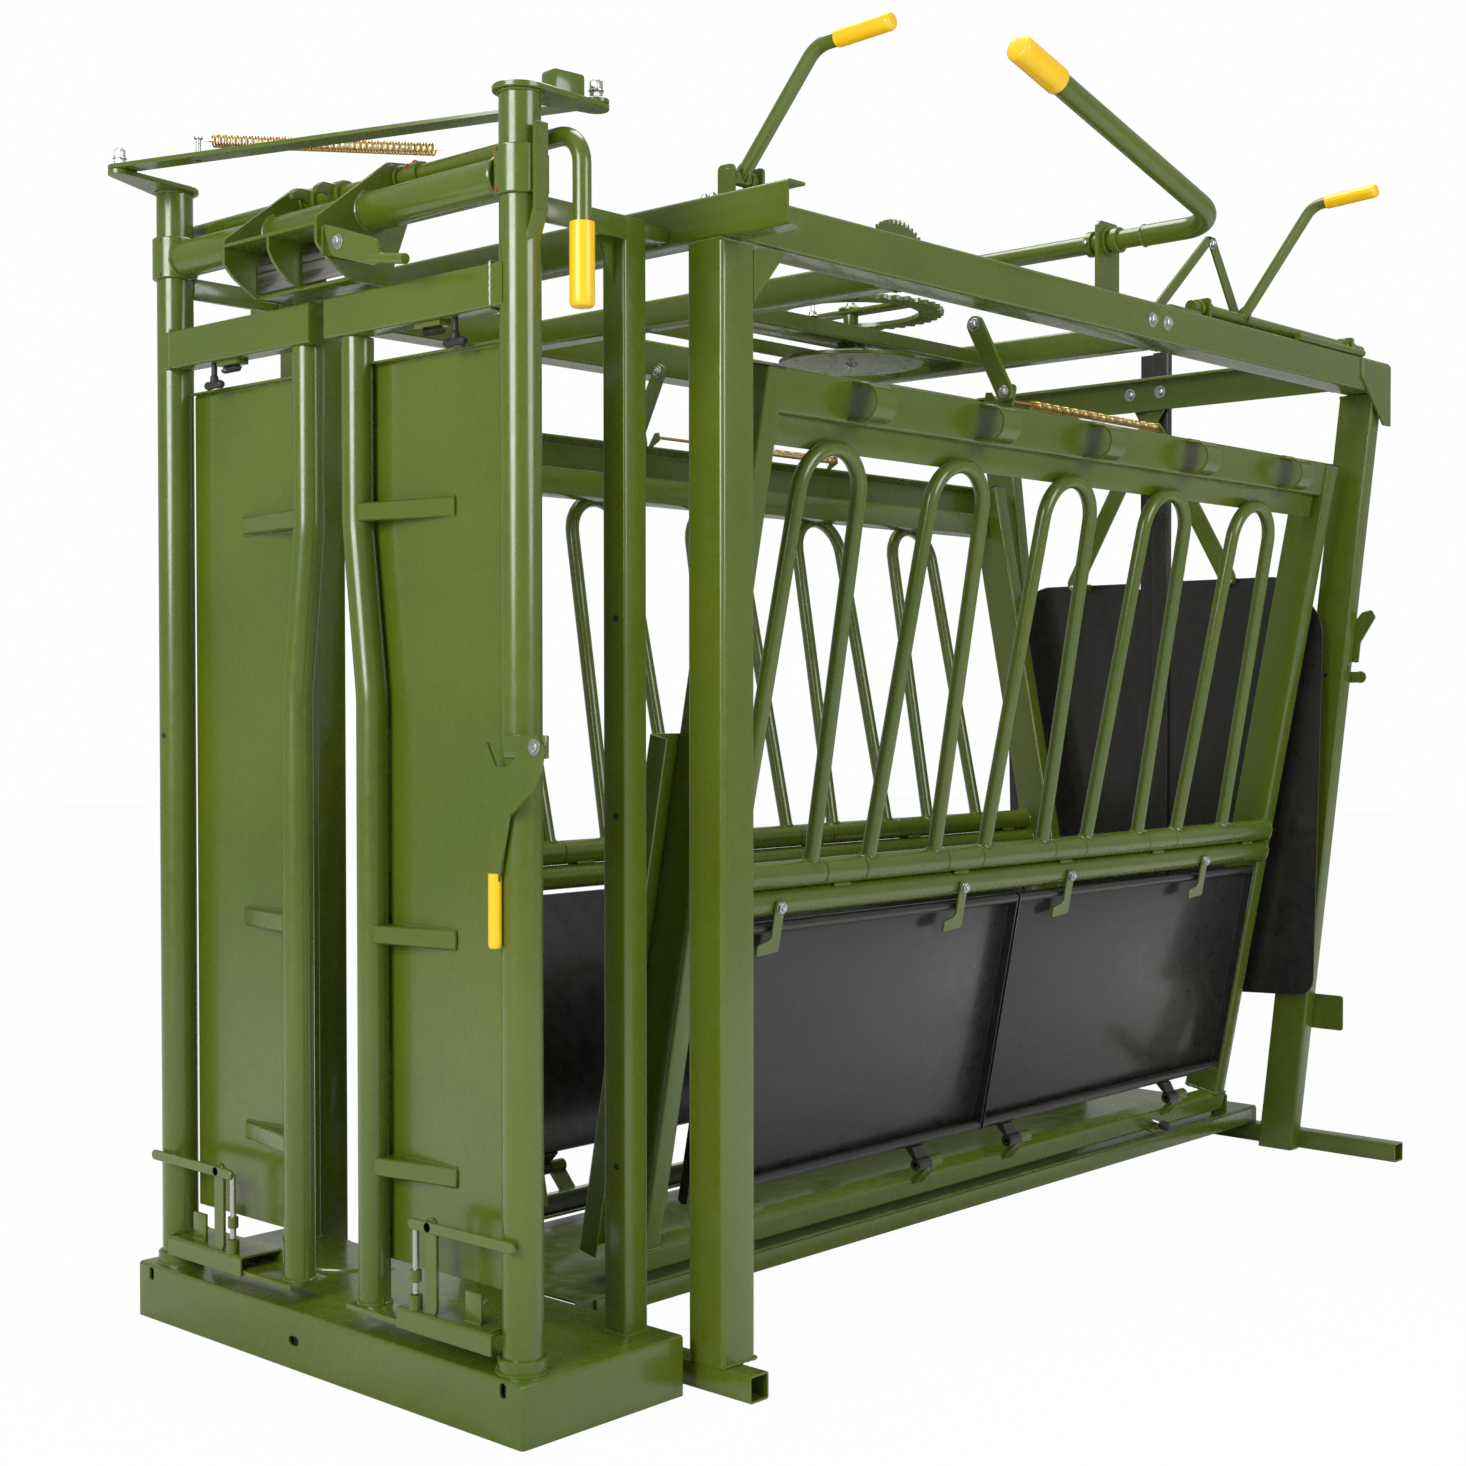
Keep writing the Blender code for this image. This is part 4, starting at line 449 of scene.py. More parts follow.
def seam(x, y, z, radius, step, seed=0):        # a straight weld along the coordinate that is a span
    ends = [[value[i] if isinstance(value, tuple) else value for value in (x, y, z)] for i in (0, 1)]
    return bead(ends, radius, step, seed)


def arcPoints(axis, centre, radius, steps, start=0, end=360):    # points round a circle, degrees
    result = []
    for i in range(steps + 1):
        angle = math.radians(start + (end - start) * i / steps)
        flat = Vector((radius * math.cos(angle), radius * math.sin(angle), 0))
        result.append(Vector(centre) + axisPlace[axis].to_3x3() @ flat)
    return result


def hoop(axis, centre, radius, steps, thick, step, seed=0, start=0, end=360):      # a round weld
    return bead(arcPoints(axis, centre, radius, steps, start, end), thick, step, seed)


def linked(name, shape):
    mesh = bpy.data.meshes.new(name)
    shape.to_mesh(mesh)
    shape.free()
    made = bpy.data.objects.new(name, mesh)
    bpy.context.scene.collection.objects.link(made)
    return made


def carved(shape, tools):       # openings cut through a solid
    body = linked("carved", shape)
    held = [linked("tool", tool) for tool in tools]
    for tool in held:
        cut = body.modifiers.new("cut", "BOOLEAN")
        cut.operation = "DIFFERENCE"
        cut.solver = "EXACT"
        cut.object = tool
    bpy.context.view_layer.update()
    result = bmesh.new()
    result.from_object(body, bpy.context.evaluated_depsgraph_get())
    for spent in [body] + held:
        mesh = spent.data
        bpy.data.objects.remove(spent)
        bpy.data.meshes.remove(mesh)
    return result


def moved(shape, place):
    bmesh.ops.transform(shape, matrix=place, verts=shape.verts)
    if place.to_3x3().determinant() < 0:
        bmesh.ops.reverse_faces(shape, faces=shape.faces)


class Assembly:     # shapes gathered by finish, then one object for each finish
    def __init__(self, name, body):
        self.name = name
        self.body = body
        self.gathered = {}

    def add(self, shape, finish="green", place=None):
        if place is not None:
            moved(shape, place)
        if finish not in self.gathered:
            self.gathered[finish] = bmesh.new()
        passing = bpy.data.meshes.new("passing")
        shape.to_mesh(passing)
        shape.free()
        self.gathered[finish].from_mesh(passing)
        bpy.data.meshes.remove(passing)

    def done(self, node, place):
        for number, (finish, shape) in enumerate(self.gathered.items()):
            if place is not None:
                moved(shape, place)
            piece = linked(self.name + finish.capitalize() if number else self.name, shape)
            piece.data.materials.append(materials[finish])
            piece.data.shade_smooth()
            piece.data.set_sharp_from_angle(angle=math.radians(38))
            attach(piece, self.body)
            if node and not number:
                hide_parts(node)


# In names * stands for the side and # for the part; without a * the piece is made once
def assemble(make, title, body, node="", placing=None, parts=("",)):
    for side, name in sideNames.items() if "*" in title else ((0, ""),):
        for part in parts:
            word = str(part)
            group = Assembly(title.replace("*", name.capitalize()).replace("#", word.capitalize()),
                             body.replace("*", name).replace("#", word))
            make(group.add, *(value for value in (side, part) if value))
            group.done(node.replace("*", name).replace("#", word), placing(side) if placing else None)
    print(make.__name__, "made")


# A hexagon head with its washer and thread end
def boltHead(add, axis, centre, radius, span, washer=1.55):
    way = 1 if span[1] > span[0] else -1
    thin = 0.0025 * way
    add(disc(axis, centre, radius * washer, sorted((span[0], span[0] + thin)), 0.0006, 20), "zinc")
    add(hexHead(axis, centre, radius, sorted((span[0] + thin, span[1]))), "zinc")
    tip = sorted((span[1] - 0.001 * way, span[1] + 0.004 * way))
    add(disc(axis, centre, radius * 0.5, tip, 0.0008, 14), "zinc")


def squareWeld(add, x, y, z, seed=0.0):       # a bead round a square tube's foot
    add(bead([(*point, z) for point in corners(x, y) + [(x[0], y[0])]], 0.004, 0.0055, seed))


def teardrop(start, end, startRadius, endRadius, steps=12):
    along = math.atan2(end[1] - start[1], end[0] - start[0])
    lean = math.acos((startRadius - endRadius) / math.dist(start[:2], end[:2]))
    points = []
    for i in range(steps + 1):
        angle = along - lean + 2 * lean * i / steps
        points.append((end[0] + endRadius * math.cos(angle), end[1] + endRadius * math.sin(angle)))
    for i in range(steps + 1):
        angle = along + lean + (2 * math.pi - 2 * lean) * i / steps
        points.append((start[0] + startRadius * math.cos(angle), start[1] + startRadius * math.sin(angle)))
    return points


def barOutline(start, end, half, steps=8):      # a flat bar with round ends
    return teardrop(start, end, half, half * 0.9999, steps)


# Head gate: pan, posts and header
pan = {"half": 0.595, "depth": 0.395, "height": 0.112, "wall": 0.005, "bend": 0.007, "ring": 0.045,
       "ringHeight": 0.025}
door = {"x": 0.53, "y": 0.06, "radius": 0.0365, "top": 2.312, "foot": 0.1123}
head = {"x": 0.4975, "y": 0.3415, "side": 0.058, "top": 2.146, "corner": 0.006}
latch = {"y": 0.13, "z": 2.245, "radius": 0.0165, "reach": 0.61, "low": 1.943, "grip": 0.147, "bend": 0.055}


def basePan(add):
    top = pan["height"]
    shell = block((-pan["half"], pan["half"]), (0, pan["depth"]), (0, top), 0)
    under = [face for face in shell.faces if face.normal.z < -0.9]
    bmesh.ops.delete(shell, geom=under, context="FACES_ONLY")
    folds = [edge for edge in shell.edges if not edge.is_boundary]
    bevelled(shell, folds, pan["bend"], 4, "EDGES")
    bmesh.ops.solidify(shell, geom=shell.faces[:], thickness=pan["wall"])
    depth = (-0.02, 0.012)
    slots = [slab("Y", depth, (-0.071, -0.039), (0.046, 0.064), 0.0088, 0)]
    slots += [slab("Y", depth, about(side * 0.545, 0.008), (0.08, 0.106), 0.006, 0) for side in sideNames]
    add(carved(outward(shell), slots))
    for x in (-0.545, -0.055, 0.545):      # painted shade: dark blocks behind the slots stand in for the shade inside the pan
        add(block(about(x, 0.03), (0.012, 0.014), (0.04, 0.1065), 0.0005), "rubber")
    for side in sideNames:
        x, y = side * door["x"], door["y"]
        span = (top - 0.001, top + pan["ringHeight"])
        add(ringShape("Z", (x, y, 0), pan["ring"], door["radius"] + 0.0004, span, 0.003, 36))
        add(hoop("Z", (x, y, top + 0.001), pan["ring"] + 0.001, 40, 0.0032, 0.006, side, 20, 380))
        half = head["side"] / 2 + 0.001
        x, y = about(side * head["x"], half), about(head["y"], half)
        add(bead([(*point, top + 0.001) for point in corners(x, y)[:3]], 0.0035, 0.0045, 3))
    for side, start in ((-1, 275), (1, 205)):      # low guides pressed in the pan's top
        add(sweep(arcPoints("Z", (side * 0.37, 0.42, top), 0.24, 14, start, start + 60), 0.004, 8,
                  [0.3] + [1.0] * 13 + [0.3]))


def headPosts(add, side):
    half, top = head["side"] / 2, head["top"]
    x, y = about(side * head["x"], half), about(head["y"], half)
    add(boxTube("Z", (door["foot"], top - 0.004), x, y, 0.004, head["corner"]))
    add(block((x[0] + 0.0015, x[1] - 0.0015), (y[0] + 0.0015, y[1] - 0.0015), (top - 0.006, top), 0.002))
    add(block((x[0] + 0.006, x[1] - 0.006), (y[1] - 0.001, 0.4345), (2.115, 2.14), 0.002))
    for z in (1.42, 1.06, 0.42):    # bolt holes in the post's face, drawn as black discs: painted shade inside the holes
        spot = (side * head["x"] + 0.006, 0, z)
        add(disc("Y", spot, 0.0065, (y[0] - 0.0003, y[0] + 0.001), 0.0002, 16), "black")
    if side > 0:    # gusset towards the header
        gusset = [(y[0] + 0.002, 2.135), (y[0] + 0.002, 2.02), (y[0] - 0.05, 2.135)]
        add(plate("X", about(side * head["x"], 0.004), gusset, 0.002))


def headerTube(add):
    y, z, radius = door["y"], 2.172, 0.0365
    reach = door["x"] - 0.04
    add(sweep([(-reach, y, z), (reach, y, z)], radius, 36))
    back = head["y"] - head["side"] / 2
    for side in sideNames:
        x = side * door["x"]
        add(ringShape("Z", (x, y, 0), 0.045, door["radius"] + 0.0005, (2.133, 2.216), 0.002, 40))
        add(hoop("X", (side * reach, y, z), radius + 0.001, 36, 0.004, 0.0055, side, 90, 450))
        add(block(about(x, 0.006), (y + 0.041, back), (2.1005, 2.1435), 0.0015))
        # split clamp ears with a bolt behind the collar
        width = (x - 0.012 + side * 0.016, x + 0.012 + side * 0.016)
        add(block(width, (0.092, 0.103), (2.14, 2.208), 0.002))
        for dab in (2.139, 2.209):      # witness dabs of paint
            spot = (side * (door["x"] - 0.012), 0, dab)
            add(disc("Y", spot, 0.0035, (0.0142, 0.0165), 0.0008, 12), "red")
    cheeks = (-0.178, 0.112)
    outline = [(-0.064, 2.098), (-0.041, 2.074), (0.012, 2.0405), (0.098, 2.0405), (0.165, 2.215),
               (0.165, 2.265), (0.14, 2.277), (0.1, 2.272), (-0.064, 2.144)]
    for x in cheeks:
        add(plate("X", (x, x + 0.008), outline, 0.006, 0.001, 4))
        for edge, away in ((x - 0.001, -0.006), (x + 0.009, 0.006)):
            add(hoop("X", (edge, y, z), radius + 0.001, 36, 0.0034, 0.0055, x, 100, 440))
            span = sorted((edge, edge + away))
            add(ringShape("X", (0, latch["y"], latch["z"]), 0.024, 0.0172, span, 0.001, 28))
    # The box is open to the front, with a curved middle web and bare wear plates inside
    low, high = cheeks[0] + 0.006, cheeks[1] + 0.002
    add(block((low, high), (-0.063, 0.04), (2.1295, 2.1365), 0.001))
    add(block((low, high), (0.014, 0.0965), (2.0415, 2.0485), 0.001))
    middle = sum(cheeks) / 2
    curve = [(-0.062, 2.131), (-0.062, 2.108), (-0.054, 2.09), (-0.038, 2.07), (-0.013, 2.052),
             (0.02, 2.0425), (0.04, 2.0425), (0.02, 2.062), (0.01, 2.085), (0.008, 2.131)]
    add(plate("X", about(middle, 0.004), curve, 0, 0.001))
    add(slab("X", about(middle, 0.003), (0.006, 0.07), (2.047, 2.138), 0.002))
    for span in ((low + 0.004, middle - 0.01), (middle + 0.01, high - 0.004)):
        add(block(span, (0.008, 0.013), (2.0515, 2.11), 0.001), "steel")
        add(block(span, (0.014, 0.06), (2.11, 2.1155), 0.001), "steel")
    bracket = [(0.124, 2.131), (0.187, 2.112), (0.275, 2.083), (0.296, 2.04), (0.27, 2.036),
               (0.15, 2.07)]
    add(plate("Y", (-0.054, -0.046), bracket, 0.006, 0.001, 4))
    add(block((0.118, 0.126), (-0.054, 0.02), (2.075, 2.128), 0.002))
    add(sweep([(0.255, -0.05, 2.052), (0.356, -0.05, 2.036)], 0.0095, 18))
    boltHead(add, "Y", (0.172, 0, 2.092), 0.009, (-0.054, -0.063))
    for spot in (-0.01, 0.03):
        add(disc("X", (0, latch["y"] + spot, 2.262), 0.004, (0.1195, 0.1215), 0.0008, 12), "red")


def latchLever(add):
    y, z, reach, low = (latch[key] for key in ("y", "z", "reach", "low"))
    path = [(-reach, y, low + 0.02), (-reach, y, z), (reach, y, z), (reach, y, low + 0.02)]
    add(sweep(rounded(path, latch["bend"], 9), latch["radius"], 28))
    for x in (-reach, reach):
        add(gripSleeve((x, y, low + latch["grip"]), (x, y, low), latch["radius"] + 0.0055), "yellow")
    # Fingers that catch the doors' rails, and the pointer that a pull trips
    finger = [(0.115, 2.262), (0.08, 2.262), (0.062, 2.248), (0.066, 2.236), (0.085, 2.242),
              (0.115, 2.232)]
    for x in (-0.15, -0.075):
        add(ringShape("X", (0, y, z), 0.027, 0.0163, (x, x + 0.03), 0.002, 30))
        add(plate("X", (x + 0.009, x + 0.021), finger, 0.005))
    add(ringShape("X", (0, y, z), 0.024, 0.0163, (0.15, 0.185), 0.002, 30))
    for turn in (0.6, 1.5):
        spot = (0, y - 0.024 * math.cos(turn), z + 0.024 * math.sin(turn))
        add(disc("X", spot, 0.0045, (0.158, 0.166), 0.001, 10), "red")
    knob = (y + 0.08, z - 0.018)
    add(sweep(rounded([(0.167, y, z), (0.205, y + 0.045, z - 0.055), (0.222, *knob)], 0.01, 4), 0.0075, 14))
    add(disc("X", (0, *knob), 0.012, (0.214, 0.232), 0.005, 20))
    add(sweep([(0.1, y - 0.03, z + 0.012), (0.13, y - 0.03, z + 0.02)], 0.002, 8), "zinc")


# Doors: posts with their levers, leaves, knobs, locks and the hook
lever = {"angles": {-1: -72.0, 1: 84.0}, "length": 0.165, "hub": 0.048, "eye": 0.0232, "thick": 0.0085,
         "base": 2.3125}
leaf = {"neck": 0.03015, "topX": 0.077, "lowX": 0.117, "bendTop": 1.6, "bendLow": 1.28, "foot": 0.15}
lock = {"pivot": (0.33, 0.335), "outer": (0.55, 0.336), "inner": (0.285, 0.334)}
railKnob = {"x": 0.372, "y": 0.0475}


def leverEye(side):
    angle = math.radians(lever["angles"][side])
    return Vector((side * door["x"] + lever["length"] * math.cos(angle),
                   door["y"] + lever["length"] * math.sin(angle), 0))


def doorPosts(add, side):
    x, y, radius = side * door["x"], door["y"], door["radius"]
    add(sweep([(x, y, door["foot"]), (x, y, door["top"])], radius, 36))
    low, high = lever["base"], lever["base"] + lever["thick"]
    eye = leverEye(side)
    add(plate("Z", (low - 0.002, high), teardrop((x, y), eye, lever["hub"], lever["eye"]), 0, 0.0015))
    add(hoop("Z", (x, y, low - 0.003), radius + 0.0012, 36, 0.0035, 0.005, side))
    add(disc("Z", (x, y, 0), radius - 0.006, (high - 0.001, high + 0.0015), 0.001, 30))
    if side > 0:    # stop block on the lever
        along = Vector((eye.x - x, eye.y - y, 0))
        stop = Vector((x, y, 0)) + along * 0.56
        turn = Matrix.Translation(stop) @ Matrix.Rotation(math.atan2(along.y, along.x), 4, "Z")
        add(block((-0.034, 0.034), (-0.021, 0.021), (low, low + 0.05), 0.007), "green", turn)
    add(boxTube("X", pair(side, 0.024, door["x"] - 0.004), (0.022, 0.073), (1.945, 2.021), 0.004, 0.006))
    add(block(about(side * 0.024, 0.001), (0.0235, 0.0715), (1.9465, 2.0195), 0.0008))
    edge = side * (door["x"] - 0.0365)
    add(bead([(edge, 0.024, 1.944), (edge, 0.024, 2.022), (edge, 0.071, 2.022)], 0.0038, 0.0048, side))
    add(seam(edge, (0.024, 0.071), 1.944, 0.0034, 0.0048, side))
    channel = [(0.0125, 0.139), (0.0125, 0.1755), (0.1075, 0.1755), (0.1075, 0.139)]
    add(strap("X", pair(side, 0.243, door["x"] - 0.028), channel, 0.005, 0.004))
    add(seam(edge, (0.018, 0.102), 0.1795, 0.0034, 0.0048, 2))
    (pivot,) = mirrored(side, [lock["pivot"]])
    add(plate("Y", (0.0185, 0.0255), barOutline((pivot[0], 0.19), pivot, 0.0157), 0, 0.001))
    boltHead(add, "Y", (pivot[0], 0, pivot[1]), 0.009, (0.0255, 0.034))
    add(ringShape("Z", (side * lock["inner"][0], 0.022, 0), 0.012, 0.0068, (0.177, 0.205), 0.001, 20))
    stay = about(side * 0.425, 0.022)
    add(block(stay, (0.036, 0.042), (0.177, 0.232), 0.0015))
    add(seam(stay, 0.035, 0.179, 0.003, 0.0045, 1))
    if side < 0:
        # a black disc on the left post: painted shade for a hole
        add(disc("Y", (x + 0.004, 0, 1.2), 0.006, (0.0232, 0.024), 0.0002, 14), "black")
    else:
        add(block((0.53, 0.6365), (0.0178, 0.0272), (1.1735, 1.2125), 0.002))
        add(bead([(0.566, 0.029, 1.2115), (0.54, 0.024, 1.2115)], 0.003, 0.0045, 2))
        boltHead(add, "Y", (0.617, 0, 1.193), 0.0095, (0.0114, 0.0065))
        # bent guard strap beside the collar
        guard = [(0.582, 2.252), (0.582, 2.205), (0.583, 2.15), (0.5815, 2.105), (0.56, 2.052)]
        add(strap("Y", (0.045, 0.075), guard, 0.008, 0.014))
    # Dark return spring and plate under the rail, beside the knob
    x, y = side * railKnob["x"], railKnob["y"]
    add(block(about(x - side * 0.062, 0.035), (0.034, 0.062), (1.935, 1.9455), 0.001))
    ends = [(x - side * reach, y, 1.9285) for reach in (0.085, 0.035)]
    add(coil(*ends, 0.006, 0.0014, 10, 6, 10), "rubber")


def doorLeaves(add, side):
    y, low, top = door["y"], leaf["lowX"], leaf["topX"]
    path = [(low, leaf["foot"]), (low, leaf["bendLow"]), (top, leaf["bendTop"]), (top, 1.9445)]
    add(sweep(rounded([(side * x, y, z) for x, z in path], 0.3, 7), leaf["neck"], 36))
    outer = 0.4985
    inset = top + 0.01
    outline = [(low, 0.23), (outer, 0.23), (outer, 1.895), (inset + 0.002, 1.895), (inset, leaf["bendTop"]),
               (low, leaf["bendLow"])]
    add(plate("Y", (0.0852, 0.0898), mirrored(side, outline), 0, 0.001))
    flange = [(0.0875, 1.88), (0.0875, 1.8975), (0.069, 1.8975)]
    add(strap("X", pair(side, inset, 0.491), flange, 0.0045, 0.006))
    for z in (1.62, 0.84, 0.41):    # stops for the animal's shoulder
        start = top if z > leaf["bendTop"] else low
        wedge = [(start, 0.037), (start, 0.0865), (0.329, 0.0865), (0.329, 0.0805)]
        add(plate("Z", about(z, 0.0175), mirrored(side, wedge), 0, 0.003))
        for edge in about(z, 0.018):
            add(seam((side * (start + 0.03), side * 0.327), 0.0845, edge, 0.0026, 0.0048, z))
        add(seam(side * (start + 0.0285), 0.047, about(z, 0.017), 0.0032, 0.0045, z))
    for span in ((0.3, 0.62), (0.95, 1.22)):   # welds between the sheet and the pipe
        add(seam(side * (low + 0.017), 0.0838, span, 0.0028, 0.005, span[0]))
    add(block((side * (low - 0.03), side * 0.37), (0.0155, 0.1045), (0.14, 0.1515), 0.002))
    add(hoop("Z", (side * low, y, 0.1528), leaf["neck"] + 0.001, 30, 0.0034, 0.005, side))


def railKnobs(add, side):
    x, y = side * railKnob["x"], railKnob["y"]
    add(disc("Z", (x, y, 0), 0.0058, (1.905, 1.971), 0.001, 18), "rubber")
    add(disc("Z", (x, y, 0), 0.0115, (1.971, 1.975), 0.001, 18), "rubber")
    shares = (-1.0, -0.93, -0.75, -0.4, 0.0, 0.4, 0.75, 0.93, 1.0)
    widths = (0.35, 0.72, 0.98, 0.9, 0.8, 0.9, 0.98, 0.72, 0.35)
    add(sweep([(x + 0.029 * share, y, 1.9025) for share in shares], 0.0088, 20, widths), "rubber")
    boss = [(0.0058, 1.904), (0.0088, 1.909), (0.0082, 1.918), (0.0058, 1.922)]
    add(turned("Z", (x, y, 0), boss, 20), "rubber")


def lockLevers(add, side):
    pivot, outer, inner = mirrored(side, [lock["pivot"], lock["outer"], lock["inner"]])
    span = (0.0105, 0.0178)
    add(plate("Y", span, barOutline(pivot, outer, 0.01), 0, 0.0012))
    add(plate("Y", span, barOutline(pivot, inner, 0.0099), 0, 0.0012))
    add(disc("Z", (inner[0], 0.022, 0), 0.006, (0.2055, inner[1]), 0.001, 18), "zinc")
    add(ringShape("Z", (inner[0], 0.022, 0), 0.0105, 0.0058, (0.228, 0.25), 0.001, 18))
    add(hexHead("Y", (pivot[0], 0, pivot[1]), 0.009, (0.0112, 0.0182)), "zinc")


def hookLever(add):
    outline = [(0.493, 1.202), (0.4835, 1.171), (0.484, 1.105), (0.5, 1.073), (0.5015, 0.956),
               (0.5225, 0.956), (0.55, 1.073), (0.604, 1.112), (0.631, 1.153), (0.639, 1.19),
               (0.622, 1.2145), (0.6, 1.205), (0.547, 1.158), (0.517, 1.158)]
    add(plate("Y", (0.0115, 0.017), outline, 0.004, 0.001, 3))
    add(gripSleeve((0.512, 0.01425, 0.975), (0.512, 0.01425, 0.845), 0.0118), "yellow")


springHook = (-0.298, -0.035)


def doorLink(add):
    low = 2.3216
    eyes = leverEye(-1), leverEye(1)
    add(plate("Z", (low, low + 0.0085), barOutline(*eyes, 0.0231), 0, 0.0012))
    for eye in eyes:
        boltHead(add, "Z", (eye.x, eye.y, 0), 0.0125, (low + 0.0085, low + 0.022), 1.25)
        boltHead(add, "Z", (eye.x, eye.y, 0), 0.0125, (low + 0.022, low + 0.04), 1.1)
    add(sweep([(*springHook, low), (*springHook, 2.366)], 0.0048, 14), "zinc")
    add(disc("Z", (*springHook, 0), 0.0085, (2.362, 2.367), 0.001, 16), "zinc")


def doorSpring(add):
    start, end = Vector((*springHook, 2.36)), Vector((0.12, 0.235, 2.32))
    along = (end - start).normalized()
    add(coil(start + along * 0.03, end - along * 0.022, 0.0112, 0.0019, 74, 6, 12), "brass")


# Main frame: posts, rails, feet, cross members and floor
main = {"postX": 0.6135, "postY": 0.4755, "tube": 0.089, "wall": 0.005, "corner": 0.009, "postTop": 2.108,
        "foot": 0.051, "railLow": 2.1083, "channelFace": 0.435, "channelHalf": 0.81, "channelTop": 2.1883,
        "rearLow": 0.415, "rearWidth": 0.1027, "deckTop": 0.0965, "deckHalf": 0.26}
railLow, railTop = main["railLow"], main["railLow"] + main["tube"]
railIn, railOut = main["postX"] - main["tube"] / 2, main["postX"] + main["tube"] / 2
beamHalf = railIn - 0.0003


def footTube(low, half):
    return boxTube("X", (-half, half), (low, low + main["foot"]), (0.0, main["foot"]), 0.004, 0.006)


def frontFoot(add):
    add(footTube(0.435, 0.72))


def rearFoot(add):
    low, high = 3.101, main["foot"]
    add(footTube(low, 0.7))
    for side in sideNames:      # pad plate by each post
        add(block(about(side * 0.36, 0.06), (low - 0.004, low + 0.0005), (0.004, high - 0.004), 0.001))


def frontPosts(add, side):
    half, foot, top = main["tube"] / 2, main["foot"], main["postTop"]
    x, y = about(side * main["postX"], half), about(main["postY"], half)
    add(boxTube("Z", (foot + 0.0003, top), x, y, main["wall"], main["corner"]))
    width = (x[0] + 0.001, x[1] - 0.001)
    squareWeld(add, width, (y[0] + 0.006, y[1] + 0.0005), foot + 0.003, side)
    squareWeld(add, width, (y[0] + 0.002, y[1] + 0.0005), top - 0.002, side + 1)
    # gusset to the rail behind the post
    out = x[1] + 0.0005 if side > 0 else x[0] - 0.0005
    gusset = [(y[1] - 0.004, 2.095), (y[1] - 0.004, 2.000), (y[1] + 0.085, 2.104), (y[1] + 0.02, 2.104)]
    add(plate("X", sorted((out, out - side * 0.006)), gusset, 0.002))


def frontChannel(add):
    low, high, face, half = railLow, main["channelTop"], main["channelFace"], main["channelHalf"]
    section = [(0.4848, low + 0.003), (face + 0.003, low + 0.003), (face + 0.003, high - 0.003),
               (0.4848, high - 0.003)]
    add(strap("X", (-half, half), section, 0.006, 0.006))
    for side in sideNames:
        span = about(side * main["postX"], 0.044)
        add(seam(span, face + 0.049, high + 0.0005, 0.0036, 0.005, side))
        # the head gate hangs on the channel by two bolted tabs
        boltHead(add, "Y", (side * head["x"], 0, low + 0.02), 0.009, (face + 0.0005, face - 0.01))
    x, y = hand["front"][0], hand["front"][1] - hand["radius"] - 0.028
    add(ear(y, about(x, 0.02), high, 2.245, 0.01))
    add(seam(about(x, 0.02), y - 0.001, high + 0.001, 0.003, 0.0045, 1))
    for offset in (-0.055, -0.035):
        boltHead(add, "Z", (x + offset, face + 0.028, 0), 0.0075, (high, high + 0.009))


def ear(y, x, base, top, corner=0.009):
    return slab("Y", (y + 0.0003, y + 0.0077), x, (base - 0.002, top), corner, 0.001)


